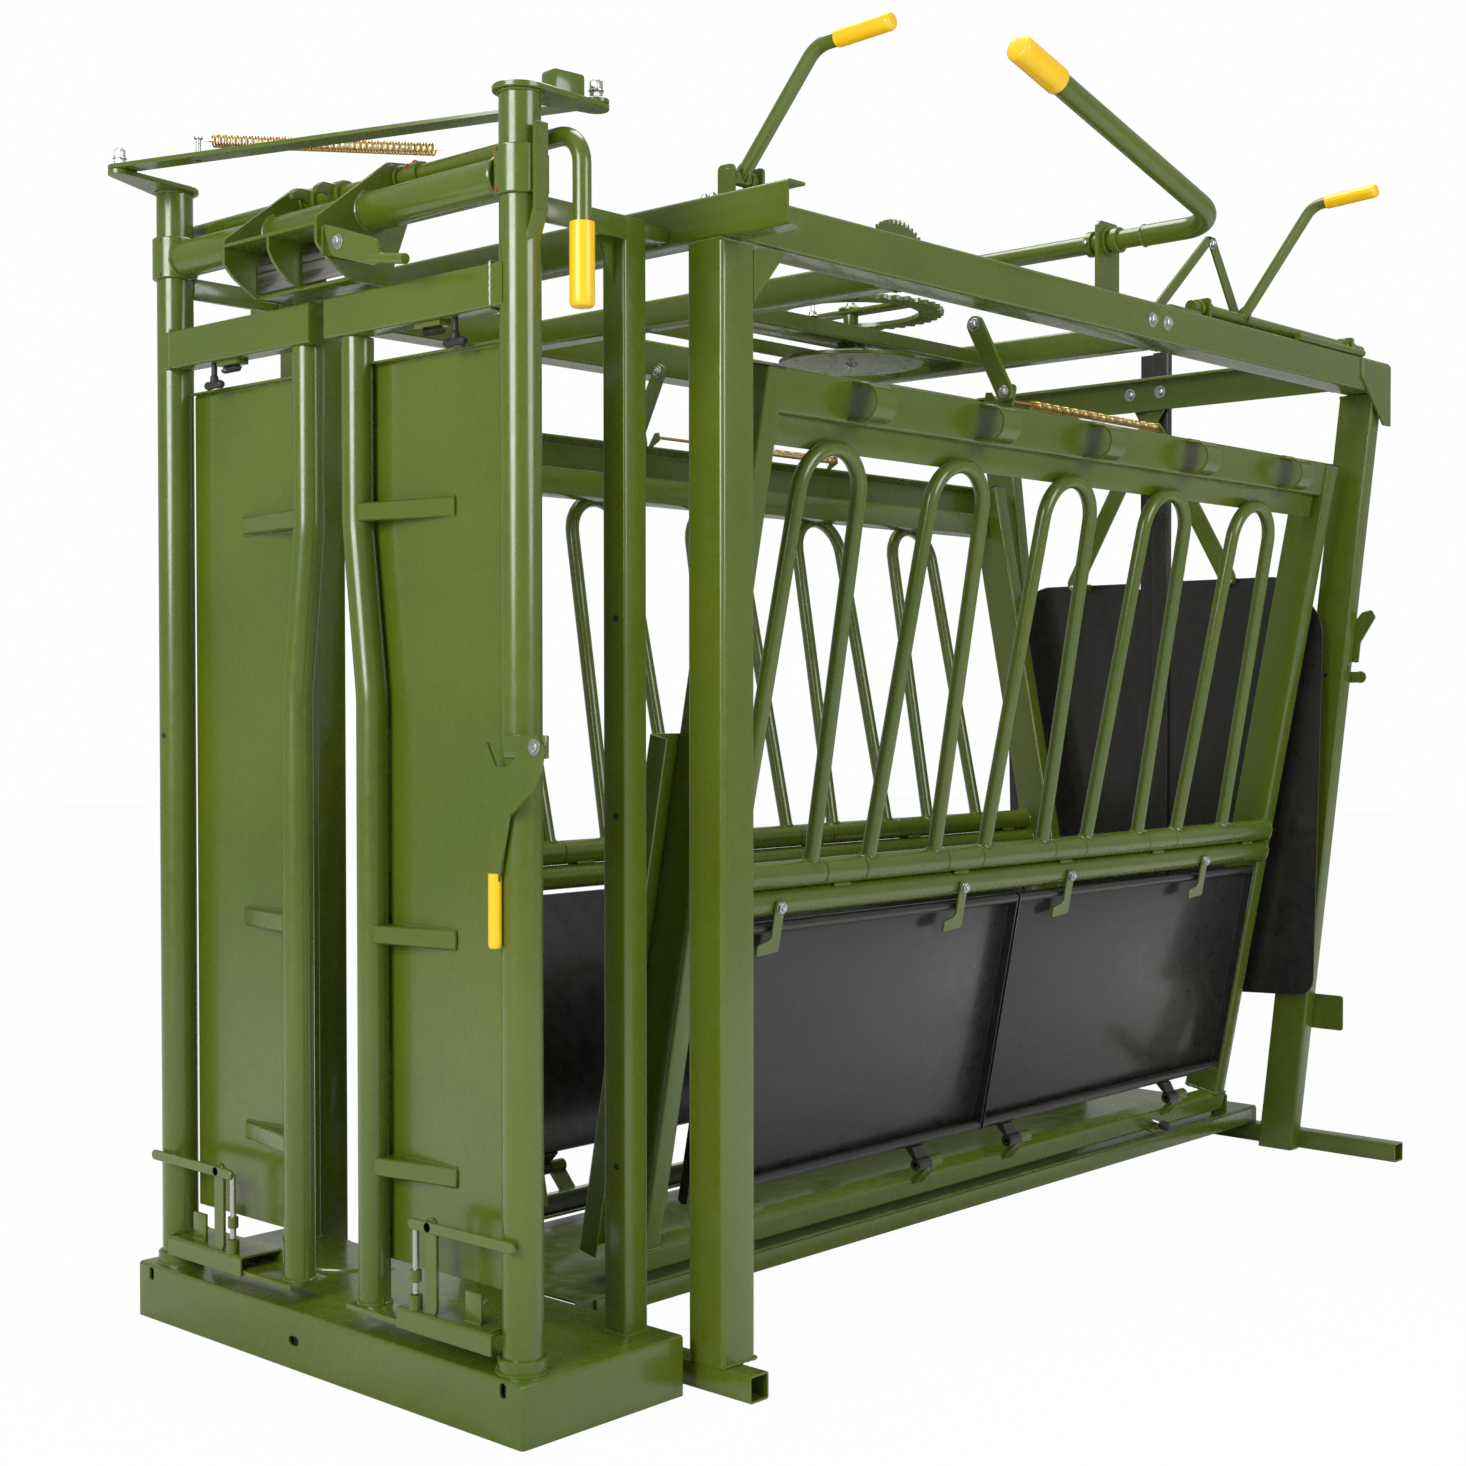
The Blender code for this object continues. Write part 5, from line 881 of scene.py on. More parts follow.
def topRails(add, side):
    low, high = railLow, railTop
    x = pair(side, railIn, railOut)
    add(boxTube("Y", (0.4853, 3.13), x, (low, high), main["wall"], main["corner"]))
    add(block((x[0] + 0.002, x[1] - 0.002), (3.126, 3.13), (low + 0.002, high - 0.002), 0.001))
    outline = [(2.96, low + 0.03), (2.96, high - 0.01), (3.13, high - 0.01), (3.13, low - 0.085),
               (3.09, low - 0.085)]
    add(plate("X", pair(side, railOut - 0.001, railOut + 0.0058), outline, 0.002, 0.001))
    line = [(2.958, low + 0.032), (2.958, high - 0.01), (3.128, high - 0.0085)]
    add(bead([(side * (railOut + 0.0015), *point) for point in line], 0.003, 0.005, 2))
    bearing = about(side * 0.61, 0.0048)
    y = shaft["y"]
    outline = [(1.735, high - 0.002), (1.825, high - 0.002), (1.825, 2.353), (1.813, 2.364), (1.747, 2.364),
               (1.735, 2.353)]
    add(plate("X", bearing, outline, 0.004, 0.001))
    for edge, way in zip(bearing, (-1, 1)):
        add(ringShape("X", (0, y, shaft["z"]), 0.033, 0.0225, sorted((edge, edge + way * 0.006)), 0.001, 32))
        add(seam(edge + way * 0.001, (1.735, 1.825), high + 0.001, 0.0034, 0.005, edge))
    for y in (1.897, 1.963):      # bolts through the rail that hold the inner carrier
        boltHead(add, "X", (0, y, low + 0.045), 0.0115, (side * railOut, side * (railOut + 0.0105)))
    for y in (0.98, 2.02, 2.93):        # welds of the cross members on the rail's inner face
        for z in (low + 0.004, low + 0.06):
            add(seam(side * (railIn - 0.0008), (y, y + 0.055), z, 0.003, 0.0048, y))
    # long flat strip welded on the rail's top, behind the handle shaft
    strip = pair(side, railOut - 0.028, railOut - 0.006)
    add(block(strip, (1.99, 2.13), (high - 0.001, high + 0.006), 0.001))
    if side > 0:
        (x, y, z), rod = hand["front"], hand["tail"]
        add(ear(y + hand["radius"] + 0.02, about(x, 0.0245), high, z + 0.0245))
        for y in (2.2, 2.96):
            add(ear(y, about(rod[0], 0.0255), high, rod[2] + 0.0255))
        for foot in (2.03, 2.46):
            outline = [(foot - 0.022, high - 0.002), (foot + 0.022, high - 0.002), (2.318, 2.42),
                       (2.282, 2.42)]
            add(plate("X", (0.5753, 0.5827), outline, 0.003, 0.001))
            add(seam(0.574, about(foot, 0.021), high + 0.001, 0.003, 0.0045, foot))
        boltHead(add, "X", (0, 2.3, 2.402), 0.009, (0.583, 0.592))
        # Short tube on the rail where the tail gate's pull runs
        add(sweep([(0.65, 2.62, high + 0.01), (0.65, 2.985, high + 0.01)], 0.0095, 18))


def sheared(side):      # the rear posts lean inwards to their feet
    shear = Matrix.Identity(4)
    shear[0][2] = (0.658 - 0.004 - main["rearLow"]) / main["postTop"]
    return shear if side > 0 else Matrix.Diagonal((-1, 1, 1, 1)) @ shear


def rearPosts(add, side):
    x = (main["rearLow"] - main["rearWidth"], main["rearLow"])
    add(boxTube("Z", (0.0, main["postTop"]), x, (3.0502, 3.0998), main["wall"], 0.007))
    squareWeld(add, x, (3.0515, 3.0985), main["postTop"] - 0.003, side)
    add(seam((x[0] + 0.004, x[1] - 0.004), 3.1, 0.0515, 0.0036, 0.005, 2))
    # black discs on the post: painted shade for holes in the tube
    add(disc("X", (0, 3.075, 1.36), 0.007, (x[1] - 0.0005, x[1] + 0.0004), 0.0002, 14), "black")
    for z in (0.64, 1.34):
        add(disc("Y", (x[0] + 0.05, 0, z), 0.0065, (3.0496, 3.0505), 0.0002, 14), "black")


def rearLatch(add):
    face = (3.1001, 3.106)
    outline = [(0.53, 1.38), (0.586, 1.375), (0.592, 1.43), (0.636, 1.5), (0.624, 1.52),
               (0.596, 1.514), (0.56, 1.47), (0.536, 1.446)]
    add(plate("Y", face, outline, 0.004))
    # the slot is a thin black sheet: painted shade for the opening in the plate
    slot = [(0.588, 1.466), (0.592, 1.462), (0.616, 1.492), (0.612, 1.496)]
    add(plate("Y", (3.1056, 3.1066), slot, 0.001, 0.0002), "black")
    add(plate("Y", face, [(0.5, 1.35), (0.59, 1.35), (0.59, 1.32), (0.5, 1.318)], 0.004))
    add(ringShape("Y", (0.592, 0, 1.335), 0.0165, 0.008, (3.1005, 3.106), 0.001, 24))
    add(slab("Y", face, (0.43, 0.545), (0.347, 0.444), 0.008))
    boltHead(add, "Y", (0.52, 0, 0.4), 0.01, (3.106, 3.115))


def rearBeam(add):
    low, high, half = railLow, railTop, beamHalf
    section = [(2.949, low + 0.0005), (2.949, high - 0.004), (2.9005, high - 0.004)]
    add(strap("X", (-half, half), section, 0.0078, 0.006))
    for side, reach in ((-1, 2.969), (1, 2.981)):
        centre = (-side * gate["pivot"][0], 0, gate["pivot"][1])
        add(disc("Y", centre, 0.0099, (2.95, reach), 0.001, 24), "zinc")
        add(disc("Y", centre, 0.021, (2.9528, 2.9562), 0.0008, 24))
        boltHead(add, "Y", centre, 0.012, (2.9448, 2.936))
        add(seam(side * half, 2.9445, (low + 0.006, high - 0.006), 0.0034, 0.005, side))


def carrier(add):
    low, half = railLow, beamHalf
    add(block((-0.05, 0.05), (1.004, 1.98), (low + 0.0202, low + 0.0298), 0.002))
    for y in (1.00, 1.98):
        section = [(y + 0.0497, low + 0.003), (y + 0.003, low + 0.003), (y + 0.003, low + 0.059),
                   (y + 0.0497, low + 0.059)]
        add(strap("X", (-half, half), section, 0.006, 0.006))
        add(seam((-0.05, 0.05), y + 0.008, low + 0.031, 0.003, 0.0045, y))
    add(ringShape("Z", (0, gear["y"], 0), 0.034, 0.0186, (low + 0.008, low + 0.0302), 0.001, 30))
    # Arms that carry the ratchet and its pawl spring
    for x in (-0.16, 0.13):
        add(slab("X", (x, x + 0.008), (1.049, 1.979), (low + 0.004, low + 0.036), 0.004))
    boltHead(add, "Z", (0.134, 1.3, 0), 0.009, (low + 0.036, low + 0.047))
    add(sweep([(0.134, 1.3, low + 0.04), (0.134, 1.3, low + 0.085)], 0.0045, 12), "zinc")


def floorTray(add):
    half, top = main["deckHalf"], main["deckTop"]
    section = [(-half + 0.0025, 0.0515), (-half + 0.0025, top - 0.0028), (half - 0.0025, top - 0.0028),
               (half - 0.0025, 0.0515)]
    add(strap("Y", (0.4405, 3.1395), section, 0.005, 0.006), "deck")
    for side in sideNames:
        x = side * flank["pivotX"]
        for y in (0.585, 2.965):
            add(ear(y, about(x, 0.024), top, 0.154, 0.01))
            add(seam(about(x, 0.023), y - 0.001, top + 0.001, 0.003, 0.0045, y))
        # angle iron that stiffens the deck's edge
        add(block(about(side * (half + 0.004), 0.0035), (0.487, 3.098), (0.052, 0.092), 0.0015))


# Squeeze sides: each is built upright about its hinge line, then leaned and mirrored
flank = {"pivotX": 0.235, "pivotZ": 0.13, "lean": 11.0, "front": 0.6, "back": 2.958, "postDepth": 0.051,
         "barX": 0.012, "axisZ": 0.8, "sleeve": 0.0285, "lowZ": 0.7425, "first": 0.86, "pitch": 0.4244,
         "hoods": (0.92, 1.35, 1.77, 2.2, 2.68), "lug": (-0.018, 1.845)}
bar = {"radius": 0.0167, "foot": 0.1175, "arch": 0.0935, "apex": 1.675, "half": 0.145}
panel = {"x": (0.008, 0.036), "z": (0.1185, 0.706), "axis": (0.052, 0, 0.085), "knuckle": 0.015,
         "spans": {"front": (0.715, 1.733), "rear": (1.741, 2.86)}, "catchZ": 0.7405,
         "hinges": {"front": (0.88, 1.51), "rear": (1.87, 2.61)}, "catches": (0.86, 1.49, 1.925, 2.56)}


def leaned(side):
    place = Matrix.Translation((flank["pivotX"], 0, flank["pivotZ"]))
    return Matrix.Diagonal((side, 1, 1, 1)) @ (place @ Matrix.Rotation(math.radians(flank["lean"]), 4, "Y"))


def sleevePiece(span):
    return ringShape("Y", (flank["barX"], 0, flank["axisZ"]), flank["sleeve"], 0.0226, span, 0.0025, 32)


def barPlace(number):
    return flank["first"] + (number - 1) * flank["pitch"]


def sideFrames(add, side):
    x, front, back, sleeve = (flank[key] for key in ("barX", "front", "back", "sleeve"))
    section = [(-0.031, 0.031), (0.016, 0.031), (0.016, -0.014), (-0.031, -0.014)]
    add(strap("Y", (front, back), section, 0.006, 0.005))
    for span, pin in (((front, front + 0.006), (0.5848, 0.602)), ((back - 0.006, back), (2.956, 2.9732))):
        add(block((-0.031, 0.0185), span, (-0.017, 0.034), 0.001))
        add(disc("Y", (0, 0, 0), 0.0099, pin, 0.001, 22), "zinc")
    posts = [(y, y + flank["postDepth"]) for y in (0.625, 2.905)]
    for y in posts:
        add(boxTube("Z", (0.033, 1.8095), (-0.083, 0.0186), y, 0.005, 0.007))
        add(block((-0.0825, 0.0181), (y[0] + 0.0005, y[1] - 0.0005), (1.809, 1.8145), 0.0018), "black")
        squareWeld(add, (-0.08, 0.0186), y, 0.035, y[0])
    beam = (posts[0][1] - 0.001, posts[1][0] + 0.001)
    section = [(-0.042, 1.812), (0.006, 1.812), (0.006, 1.728), (-0.042, 1.728)]
    add(strap("Y", beam, section, 0.006, 0.006))
    add(block((-0.042, -0.0058), (beam[0] + 0.02, beam[1] - 0.02), (1.665, 1.7275), 0.002))
    for end, y in enumerate(beam):
        add(seam(0.01, y, (1.728, 1.812), 0.0034, 0.005, end))
    bars = [barPlace(number) for number in barNumbers]
    reach = bar["half"] + 0.002
    add(disc("Y", (x, 0, flank["axisZ"]), 0.0218, beam, 0.001, 28))
    for span in zip([beam[0]] + [y + reach for y in bars], [y - reach for y in bars] + [beam[1]]):
        add(sleevePiece(span))
        middle = sum(span) / 2      # the welds between the two pipes
        if span[1] - span[0] > 0.1:
            for way in (-1, 1):
                add(seam(x + way * 0.0145, about(middle, 0.028), 0.7712, 0.0055, 0.0052, middle))
    add(disc("Y", (x, 0, flank["lowZ"]), sleeve, beam, 0.001, 32))
    for y in beam:
        for z in (flank["axisZ"], flank["lowZ"]):
            add(hoop("Y", (x, y, z), sleeve + 0.0012, 26, 0.0034, 0.0055, z))
    turns = [math.radians(turn) for turn in range(-90, 91, 12)]
    arc = [(0.04 + 0.037 * math.cos(turn), 1.7715 + 0.037 * math.sin(turn)) for turn in turns]
    for y in flank["hoods"]:
        add(strap("Y", about(y, 0.0325), [(0.007, 1.7345), *arc, (0.007, 1.8085)], 0.0055, 0))
        for z in (1.7325, 1.8125):
            add(seam(0.0105, about(y, 0.031), z, 0.003, 0.0048, y))
    add(strap("Z", (0.015, 1.08), [(-0.0845, 0.745), (-0.0845, 0.5475), (-0.038, 0.5475)], 0.005, 0.005))
    add(seam(-0.0865, 0.6235, (0.15, 0.3), 0.003, 0.005, 1))
    for y in panel["catches"]:
        add(disc("X", (0, y, panel["catchZ"]), 0.0078, (0.036, 0.051), 0.0008, 20), "zinc")
        boltHead(add, "X", (0, y, panel["catchZ"]), 0.0125, (0.0472, 0.055), 1.05)
    for y in panel["hinges"]["front"] + panel["hinges"]["rear"]:
        add(disc("Y", panel["axis"], panel["knuckle"], (y + 0.0004, y + 0.045), 0.002, 26))
        add(disc("Y", panel["axis"], 0.0059, (y - 0.045, y + 0.0495), 0.001, 18), "brass")
        outline = [(0.016, 0.012), (0.056, 0.075), (0.048, 0.085), (0.016, 0.032)]
        add(plate("Y", (y + 0.0025, y + 0.043), outline, 0.002))
        add(seam(0.02, (y + 0.003, y + 0.043), 0.03, 0.003, 0.0048, y))
    add(slab("Y", (1.4425, 1.45), about(flank["lug"][0], 0.02), (1.813, 1.865), 0.01, 0.001))
    x, z = -0.07, 1.83      # long spring that draws the link back
    add(sweep([(x, 1.452, z), (x, 1.62, z)], 0.004, 10), "brass")
    add(coil((x, 1.615, z), (x, 2.15, z), 0.0085, 0.0016, 80, 6, 10), "brass")
    for y in (1.452, 2.158):
        outline = [(-0.08, 1.82), (-0.036, 1.806), (-0.036, 1.812), (-0.066, 1.842), (-0.08, 1.84)]
        add(plate("Y", about(y, 0.003), outline, 0.002))
    knob = [(0, 0.046), (0.008, 0.046), (0.012, 0.052), (0.012, 0.068), (0.008, 0.074), (0, 0.074)]
    for y in (0.9, 2.57):      # spring pins that lock the side near the floor
        add(block((0.0188, 0.045), about(y, 0.03), (-0.012, -0.006), 0.001))
        add(disc("X", (0, y, 0.008), 0.0065, (0.018, 0.052), 0.001, 16), "zinc")
        add(turned("X", (0, y, 0.008), knob, 20), "rubber")


def dropBars(add, side, number):
    x, y, z = flank["barX"], barPlace(number), flank["axisZ"]
    arch, spring = bar["arch"], bar["apex"] - bar["arch"]
    turns = [math.pi * i / 18 for i in range(19)]
    path = [(y - arch * math.cos(turn), spring + arch * math.sin(turn)) for turn in turns]
    path = [(y - bar["foot"], z + 0.02), *path, (y + bar["foot"], z + 0.02)]
    add(sweep([(x, *point) for point in path], bar["radius"], 22))
    add(sleevePiece(about(y, bar["half"])))
    around = bar["radius"] + 0.0008
    for way in (-1, 1):
        foot = y + way * (bar["foot"] - 0.0007)
        ring = []
        for i in range(31):     # the bead rides over the sleeve's round
            angle = 2 * math.pi * i / 30
            across = around * math.cos(angle)
            ring.append((x + across, foot + around * math.sin(angle),
                         z + math.sqrt(flank["sleeve"] ** 2 - across ** 2) + 0.0005))
        add(bead(ring, 0.0032, 0.006, way))


def sidePanels(add, side, part):
    (low, high), (bottom, top), inner = panel["spans"][part], panel["z"], panel["x"][0]
    length, height = (low + 0.001, high - 0.001), (bottom + 0.004, top - 0.004)
    add(block((inner, inner + 0.0035), (low + 0.002, high - 0.002), height, 0.001), "black")
    for z, way in ((bottom, 1), (top, -1)):     # rolled edges, hollow towards the sheet
        z += way * 0.0128
        add(sweep([(0.0225, y, z) for y in length], 0.0125, 22), "black")
        add(block((0.009, 0.014), length, about(z, 0.004), 0.001), "black")
    for y, way in ((low, 1), (high, -1)):
        section = [(0.0095, y + way * 0.014), (0.0095, y + way * 0.0018), (0.0352, y + way * 0.0018)]
        add(strap("Z", height, section, 0.003, 0.003), "black")
    outline = [(0.01, bottom + 0.002), (0.01, bottom - 0.003), (0.046, 0.092), (0.057, 0.092),
               (0.034, bottom + 0.002)]
    for hinge in panel["hinges"][part]:
        span = (hinge - 0.045, hinge - 0.0005)
        add(ringShape("Y", panel["axis"], panel["knuckle"], 0.0066, span, 0.002, 26), "black")
        add(plate("Y", (span[0] + 0.002, span[1] - 0.002), outline, 0.001), "black")


def panelCatches(add, side, number):
    y, z = panel["catches"][number - 1], panel["catchZ"]
    outline = [(y - 0.014, z + 0.014), (y + 0.014, z + 0.014), (y + 0.014, z - 0.095),
               (y - 0.054, z - 0.101), (y - 0.054, z - 0.077), (y - 0.014, z - 0.065)]
    add(plate("X", (0.0411, 0.0467), outline, 0.006, 0.001, 4))


# Top mechanism: squeeze shaft, gears, links and hand levers
shaft = {"y": 1.78, "z": 2.32, "radius": 0.021, "left": -0.66, "right": 0.765, "handleRadius": 0.024,
         "bend": (0.9, 1.78, 2.32), "end": (0.86, 1.06, 2.55), "grip": 0.14}
sector = {"radius": 0.145, "tooth": 0.012, "start": 48, "end": 125, "teeth": 11}
gear = {"y": 1.6, "radius": 0.225, "tooth": 0.012, "teeth": 44, "bore": 0.165, "low": 2.205, "high": 2.215,
        "spindle": 0.018, "disc": 0.175, "discLow": 2.085, "discHigh": 2.095}
hand = {"radius": 0.01335, "gripRadius": 0.0162, "bendRadius": 0.06,
        "front": (0.64, 0.5, 2.225), "frontPath": [(0.822, 2.43), (0.994, 2.437)], "frontGrip": 0.123,
        "tail": (0.61, 2.4, 2.225), "tailPath": [(0.803, 2.48), (0.969, 2.49)], "tailGrip": 0.13}


def toothedRing(centre, root, tip, bore, teeth, span):
    bm = bmesh.new()
    outer, inner = [], []
    for i in range(teeth):
        for share, radius in ((0.0, root), (0.22, tip), (0.5, tip), (0.72, root)):
            angle = 2 * math.pi * (i + share) / teeth
            way = Vector((math.cos(angle), math.sin(angle), 0))
            outer.append(bm.verts.new(way * radius + Vector((0, 0, span[0]))))
            inner.append(bm.verts.new(way * bore + Vector((0, 0, span[0]))))
    for i in range(len(outer)):
        after = (i + 1) % len(outer)
        bm.faces.new((outer[i], outer[after], inner[after], inner[i]))
    drawnOut(bm, span)
    bmesh.ops.translate(bm, vec=centre, verts=bm.verts)
    return outward(bm)


def squeezeShaft(add):
    y, z, radius, left = (shaft[key] for key in ("y", "z", "radius", "left"))
    add(sweep([(left, y, z), (shaft["right"], y, z)], radius, 32))
    # a black disc in the shaft's left end: painted shade for the open bore
    add(disc("X", (0, y, z), radius - 0.003, (left - 0.0008, left + 0.002), 0.0005, 26), "black")
    bend, end = Vector(shaft["bend"]), Vector(shaft["end"])
    add(sweep(rounded([(0.71, y, z), bend, bend.lerp(end, 0.97)], 0.08, 10), shaft["handleRadius"], 32))
    add(hoop("X", (0.7095, y, z), 0.0225, 28, 0.0036, 0.0055, 1))
    add(gripSleeve(end - (end - bend).normalized() * shaft["grip"], end, 0.0285), "yellow")
    for x in (-0.571, 0.571, -0.639, 0.639):    # collars that keep the shaft from sliding
        add(ringShape("X", (0, y, z), 0.029, radius - 0.0005, about(x, 0.009), 0.002, 30))
    for x in (-0.571, 0.571):
        add(hexHead("Y", (x, 0, z), 0.006, (y - 0.036, y - 0.028)), "zinc")
    outline = [(y + radius, z), (y - radius, z)]
    steps = sector["teeth"] * 4
    for i in range(steps + 1):
        angle = math.radians(sector["end"] + (sector["start"] - sector["end"]) * i / steps)
        reach = sector["radius"] if i % 4 in (1, 2) else sector["radius"] - sector["tooth"]
        outline.append((y + reach * math.cos(angle), z + reach * math.sin(angle)))
    add(plate("X", (-0.006, 0.006), outline, 0, 0.0008))
    for way in (-1, 1):
        add(ringShape("X", (0, y, z), 0.031, radius - 0.0005, pair(way, 0.005, 0.022), 0.002, 30))
        add(hoop("X", (way * 0.0075, y, z), 0.0318, 28, 0.003, 0.005, way))


def ringGear(add):
    y, radius, bore, spindle = (gear[key] for key in ("y", "radius", "bore", "spindle"))
    low, high, discLow, discHigh = (gear[key] for key in ("low", "high", "discLow", "discHigh"))
    centre = (0, y, 0)
    add(toothedRing(centre, radius - gear["tooth"], radius, bore, gear["teeth"], (low, high)))
    add(block((-bore - 0.002, bore + 0.002), about(y, 0.025), (low + 0.0005, high - 0.0005), 0.001))
    add(disc("Z", centre, spindle, (discLow + 0.001, high + 0.01), 0.002, 28))
    add(ringShape("Z", centre, 0.03, spindle - 0.0005, (high - 0.001, high + 0.006), 0.0015, 30))
    add(disc("Z", centre, 0.036, (2.1386, 2.1478), 0.0015, 32))
    add(disc("Z", centre, gear["disc"], (discLow, discHigh), 0.0015, 64))
    for i in range(8):      # small holes round the disc, drawn as black discs: painted shade for the openings
        angle = math.radians(45 * i + 20)
        spot = (0.145 * math.cos(angle), y + 0.145 * math.sin(angle), 0)
        add(disc("Z", spot, 0.008, (discLow - 0.0003, discHigh + 0.0003), 0.0002, 16), "black")
    boltHead(add, "Z", centre, 0.011, (discLow, discLow - 0.011), 1.5)
    boltHead(add, "Z", centre, 0.01, (high + 0.01, high + 0.019), 1.4)


def squeezeLinks(add, side):
    spot = leaned(side) @ Vector((flank["lug"][0], 0, flank["lug"][1]))
    foot, top = (spot.x, spot.z), (side * 0.49, 2.1)
    add(plate("Y", (1.4302, 1.4418), barOutline(foot, top, 0.0205, 12), 0, 0.0012))
    add(disc("Y", (foot[0], 0, foot[1]), 0.0088, (1.441, 1.4515), 0.001, 20), "zinc")
    boltHead(add, "Y", (foot[0], 0, foot[1]), 0.0105, (1.4302, 1.4215), 1.3)
    boltHead(add, "Y", (top[0], 0, top[1]), 0.0115, (1.4302, 1.4205), 1.3)


def bentLever(add, start, path, grip):
    bend, end = (Vector((x, start[1], z)) for x, z in path)
    add(sweep(rounded([start, bend, bend.lerp(end, 0.94)], hand["bendRadius"], 8), hand["radius"], 24))
    add(gripSleeve(end - (end - bend).normalized() * grip, end, hand["gripRadius"]), "yellow")


def frontLever(add):
    x, y, z = hand["front"]
    add(disc("Y", (x, 0, z), hand["radius"], (0.4582, 0.5418), 0.001, 26))
    for low, high in ((0.4667, 0.486), (0.514, 0.5333)):
        add(ringShape("Y", (x, 0, z), 0.0165, 0.013, (low + 0.004, high - 0.001), 0.001, 24))
    bentLever(add, hand["front"], hand["frontPath"], hand["frontGrip"])
    add(hoop("Y", (x + 0.008, y, z + 0.01), 0.0165, 22, 0.003, 0.005, 1))


def tailHandle(add):
    x, y, z = hand["tail"]
    add(sweep([(x, 2.1505, z), (x, 3.0495, z)], 0.0148, 26))
    for spot in (2.185, 2.225, 2.945, 2.985):
        add(ringShape("Y", (x, 0, z), 0.0205, 0.0145, about(spot, 0.006), 0.0015, 26))
    bentLever(add, hand["tail"], hand["tailPath"], hand["tailGrip"])
    add(hoop("Y", (x + 0.008, y, z + 0.011), 0.017, 22, 0.0032, 0.005, 1))


# Tail gate
gate = {"left": (3.0072, 3.0318), "right": (2.9802, 3.0048), "leftArm": (2.9592, 2.9688),
        "rightArm": (2.9712, 2.9808), "tube": (0.003, 0.054), "tubeZ": (0.4, 2.28), "rim": 0.022,
        "edge": [(0.052, 0.43), (0.515, 0.45), (0.54, 1.5), (0.43, 1.62), (0.052, 1.62)],
        "pivot": (0.05, 2.16), "foot": (0.25, 1.62), "armHalf": 0.025}


def tailGates(add, side):
    face, arm = gate[sideNames[side]], gate[sideNames[side] + "Arm"]
    x, (low, high), middle = pair(side, *gate["tube"]), gate["tubeZ"], sum(face) / 2
    add(boxTube("Z", (low, high), x, face, 0.003, 0.004), "black")
    for z in (low + 0.002, high - 0.006):
        width, depth = ((low + 0.002, high - 0.002) for low, high in (x, face))
        add(block(width, depth, (z, z + 0.004), 0.0008), "black")
    add(plate("Y", face, mirrored(side, gate["edge"]), 0.05, 0.0045, 6, gate["rim"], 3), "black")
    sheet = [(u - 0.004 if u > 0.1 else u, v + (0.004 if v < 1 else -0.004)) for u, v in gate["edge"]]
    add(plate("Y", about(middle, 0.0018), mirrored(side, sheet), 0.046, 0.0005), "black")
    pivot, foot = (-side * gate["pivot"][0], gate["pivot"][1]), (side * gate["foot"][0], gate["foot"][1])
    add(plate("Y", arm, barOutline(pivot, foot, gate["armHalf"], 12), 0, 0.0015))
    add(block(about(foot[0], 0.021), (arm[1] - 0.001, middle), (foot[1] - 0.021, foot[1] - 0.001), 0.002))
    for spot in (-0.01, 0.01):
        span = (arm[0] + 0.0002, arm[0] - 0.004)
        boltHead(add, "Y", (foot[0] + spot, 0, foot[1] - 0.012), 0.006, span, 1.3)
    add(seam(side * 0.054 + side * 0.001, face[0] + 0.012, (0.46, 0.62), 0.003, 0.005, 1), "black")


# Studio: pale floor, white backdrop and three soft lamps
def makeFloor():
    bm = bmesh.new()
    bmesh.ops.create_grid(bm, x_segments=2, y_segments=2, size=studio["floorSize"] / 2)
    made = bpy.data.materials.new("floorPaint")
    start = freshTree(made)
    place = start.node("TexCoord", None, None, 3)
    mottle = start.node("TexNoise", None, {"Vector": place, "Scale": 1.7, "Detail": 4.0})
    shade = mottle.fit(0.3, 0.7, 0.97, 1.0) * studio["floorShade"]
    matt = start.node("BsdfDiffuse", None, {"Color": shade, "Roughness": 1.0})
    glow = start.node("Emission", None, {"Color": rgba((1.0, 1.0, 1.0)), "Strength": studio["backdrop"]})
    seen = start.node("LightPath", None, None, "Is Camera Ray") * studio["floorLift"]
    mixed = start.node("MixShader", None, {0: seen, 1: matt, 2: glow})
    start.node("OutputMaterial", None, {"Surface": mixed})
    floor = linked("floor", bm)
    floor.data.materials.append(made)
    floor.location.z = -0.0005


def makeBackdrop():
    world = bpy.data.worlds.new("backdrop")
    bpy.context.scene.world = world
    start = freshTree(world)
    seen = start.node("LightPath", None, None, "Is Camera Ray")
    glossy = start.node("LightPath", None, None, "Is Glossy Ray") * studio["mirrored"]
    through = start.node("LightPath", None, None, "Is Transmission Ray")
    share = seen.maths("MAXIMUM", seen.maths("MAXIMUM", seen, glossy), through)
    strength = share * (studio["backdrop"] - studio["daylight"]) + studio["daylight"]
    light = start.node("Background", None, {"Color": rgba((1.0, 1.0, 1.0)), "Strength": strength})
    start.node("OutputWorld", None, {"Surface": light})


def addLamp(name, place, size, power, target=(0.0, 1.3, 1.1)):
    lamp = bpy.data.lights.new(name, "AREA")
    lamp.shape = "DISK"
    lamp.size = size
    lamp.energy = power
    held = bpy.data.objects.new(name, lamp)
    held.location = place
    held.rotation_euler = (Vector(target) - Vector(place)).to_track_quat("-Z", "Y").to_euler()
    bpy.context.scene.collection.objects.link(held)


makeFloor()
makeBackdrop()
for lampName in ("key", "fill", "top"):
    addLamp(lampName + "Lamp", *(studio[lampName + value] for value in ("Place", "Size", "Power")))
print("studio set")

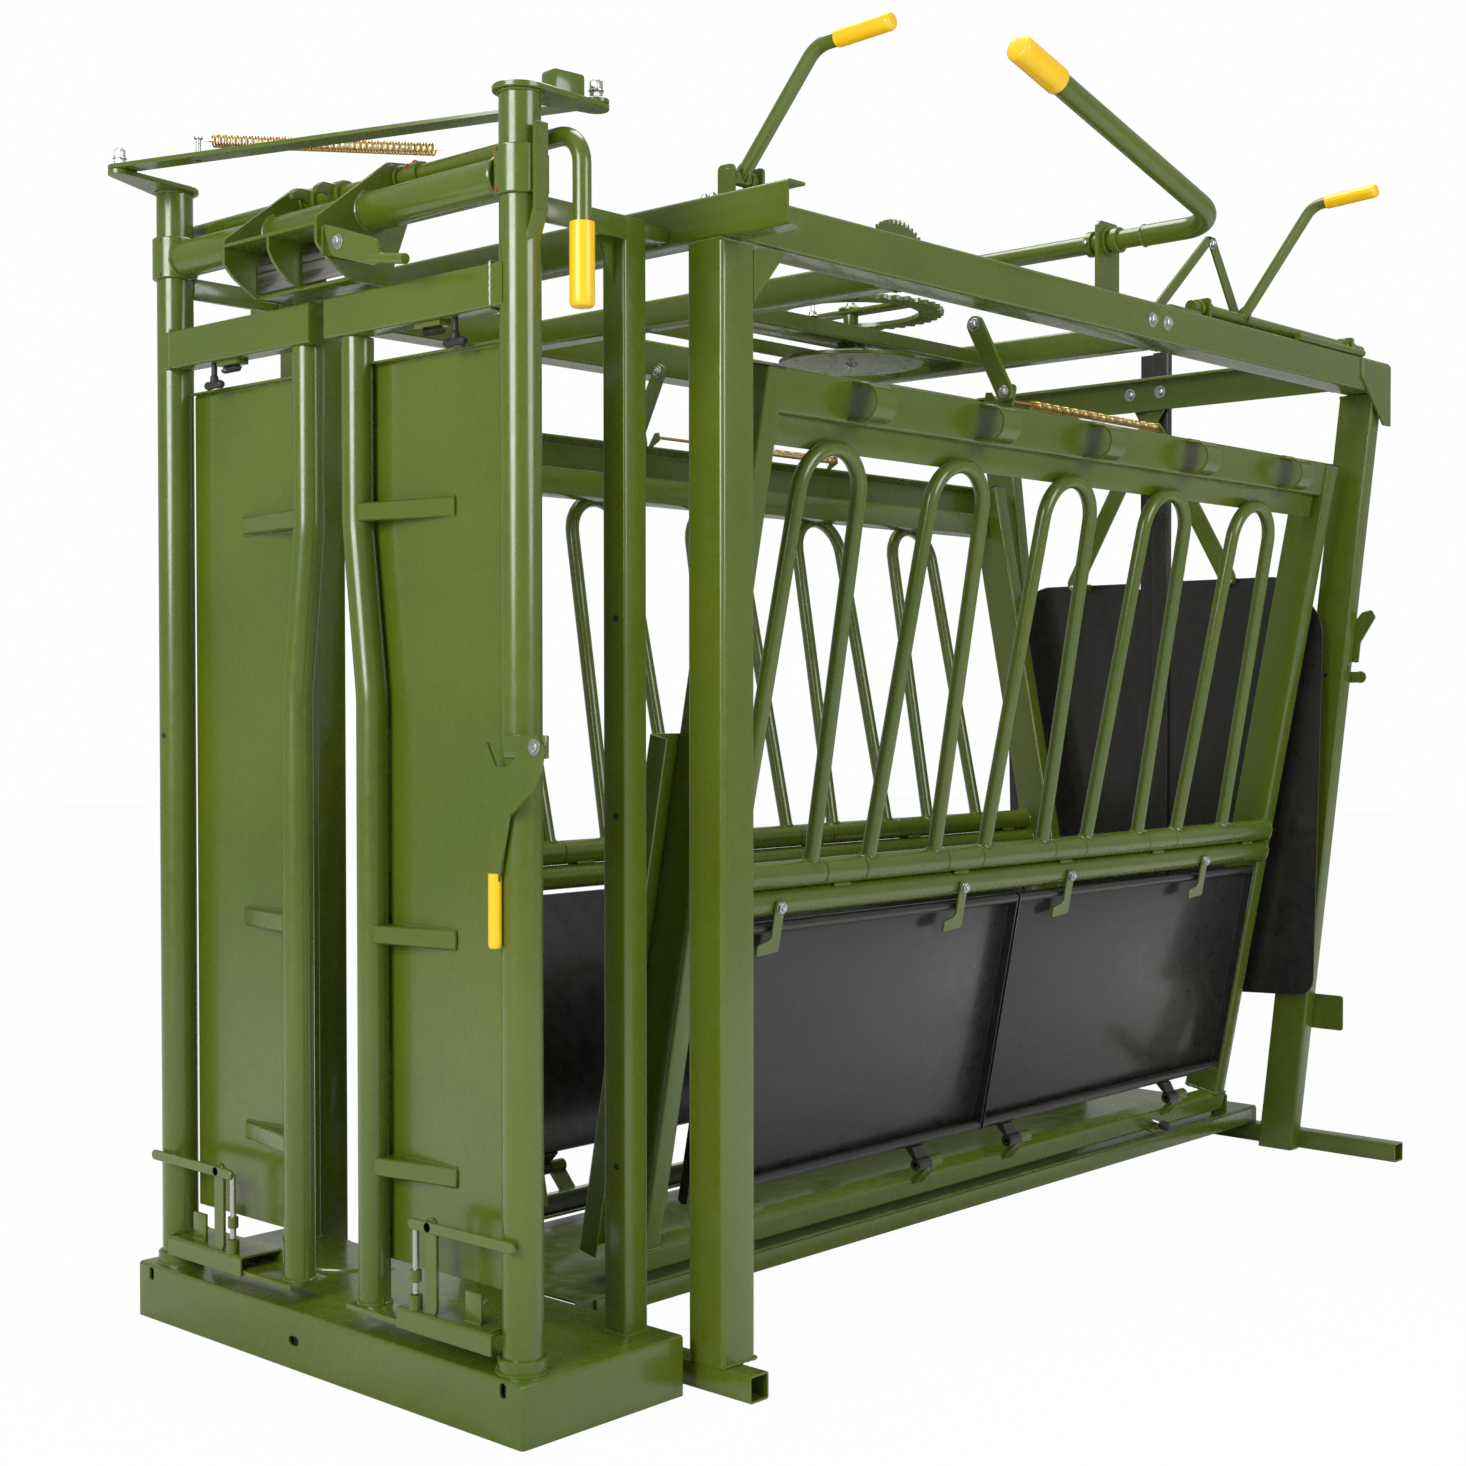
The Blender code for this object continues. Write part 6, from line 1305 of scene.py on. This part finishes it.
barNumbers = (1, 2, 3, 4, 5)
for row in (
        (basePan, "basePan", "frame", "base_pan"),
        (headPosts, "headPost*", "frame", "head_post_*"),
        (headerTube, "headerTube", "frame", "header_tube"),
        (latchLever, "latchShaft", "latch", "latch_shaft"),
        (doorPosts, "doorPost*", "door_*", "door_post_*"),
        (doorLeaves, "doorLeaf*", "leaf_*", "door_leaf_*"),
        (railKnobs, "railKnob*", "knob_*", "rail_knob_*"),
        (lockLevers, "lockLever*", "lock_*", "lock_lever_*"),
        (hookLever, "hookLever", "hook", "hook_lever"),
        (doorLink, "doorLink", "door_link", "door_link_bar"),
        (doorSpring, "doorSpring", "door_link", "door_spring"),
        (frontFoot, "frontFoot", "frame", "front_foot_tube"),
        (rearFoot, "rearFoot", "frame", "rear_foot_tube"),
        (frontPosts, "frontPost*", "frame", "front_post_*"),
        (frontChannel, "frontChannel", "frame", "front_channel"),
        (topRails, "topRail*", "frame", "top_rail_*"),
        (rearPosts, "rearPost*", "frame", "rear_post_*", sheared),
        (rearLatch, "rearLatch", "frame"),
        (rearBeam, "rearBeam", "frame", "rear_cross_beam"),
        (carrier, "carrier", "frame", "gear_carrier"),
        (floorTray, "floorTray", "frame", "floor_tray"),
        (sideFrames, "sideFrame*", "side_*", "side_frame_*", leaned),
        (dropBars, "dropBar*#", "bar_*_#", "drop_bar_*_#", leaned, barNumbers),
        (sidePanels, "sidePanel*#", "panel_*_#", "side_panel_*_#", leaned, ("front", "rear")),
        (panelCatches, "panelCatch*#", "catch_*_#", "panel_catch_*_#", leaned, (1, 2, 3, 4)),
        (squeezeShaft, "squeezeShaft", "squeeze_shaft", "squeeze_shaft"),
        (ringGear, "ringGear", "ring_gear", "ring_gear"),
        (squeezeLinks, "squeezeLink*", "link_*", "squeeze_link_*"),
        (frontLever, "frontLever", "front_lever", "front_lever"),
        (tailHandle, "tailGateHandle", "tail_handle", "tail_gate_handle"),
        (tailGates, "tailGate*", "tail_gate_*", "tail_gate_*")):
    assemble(*row)
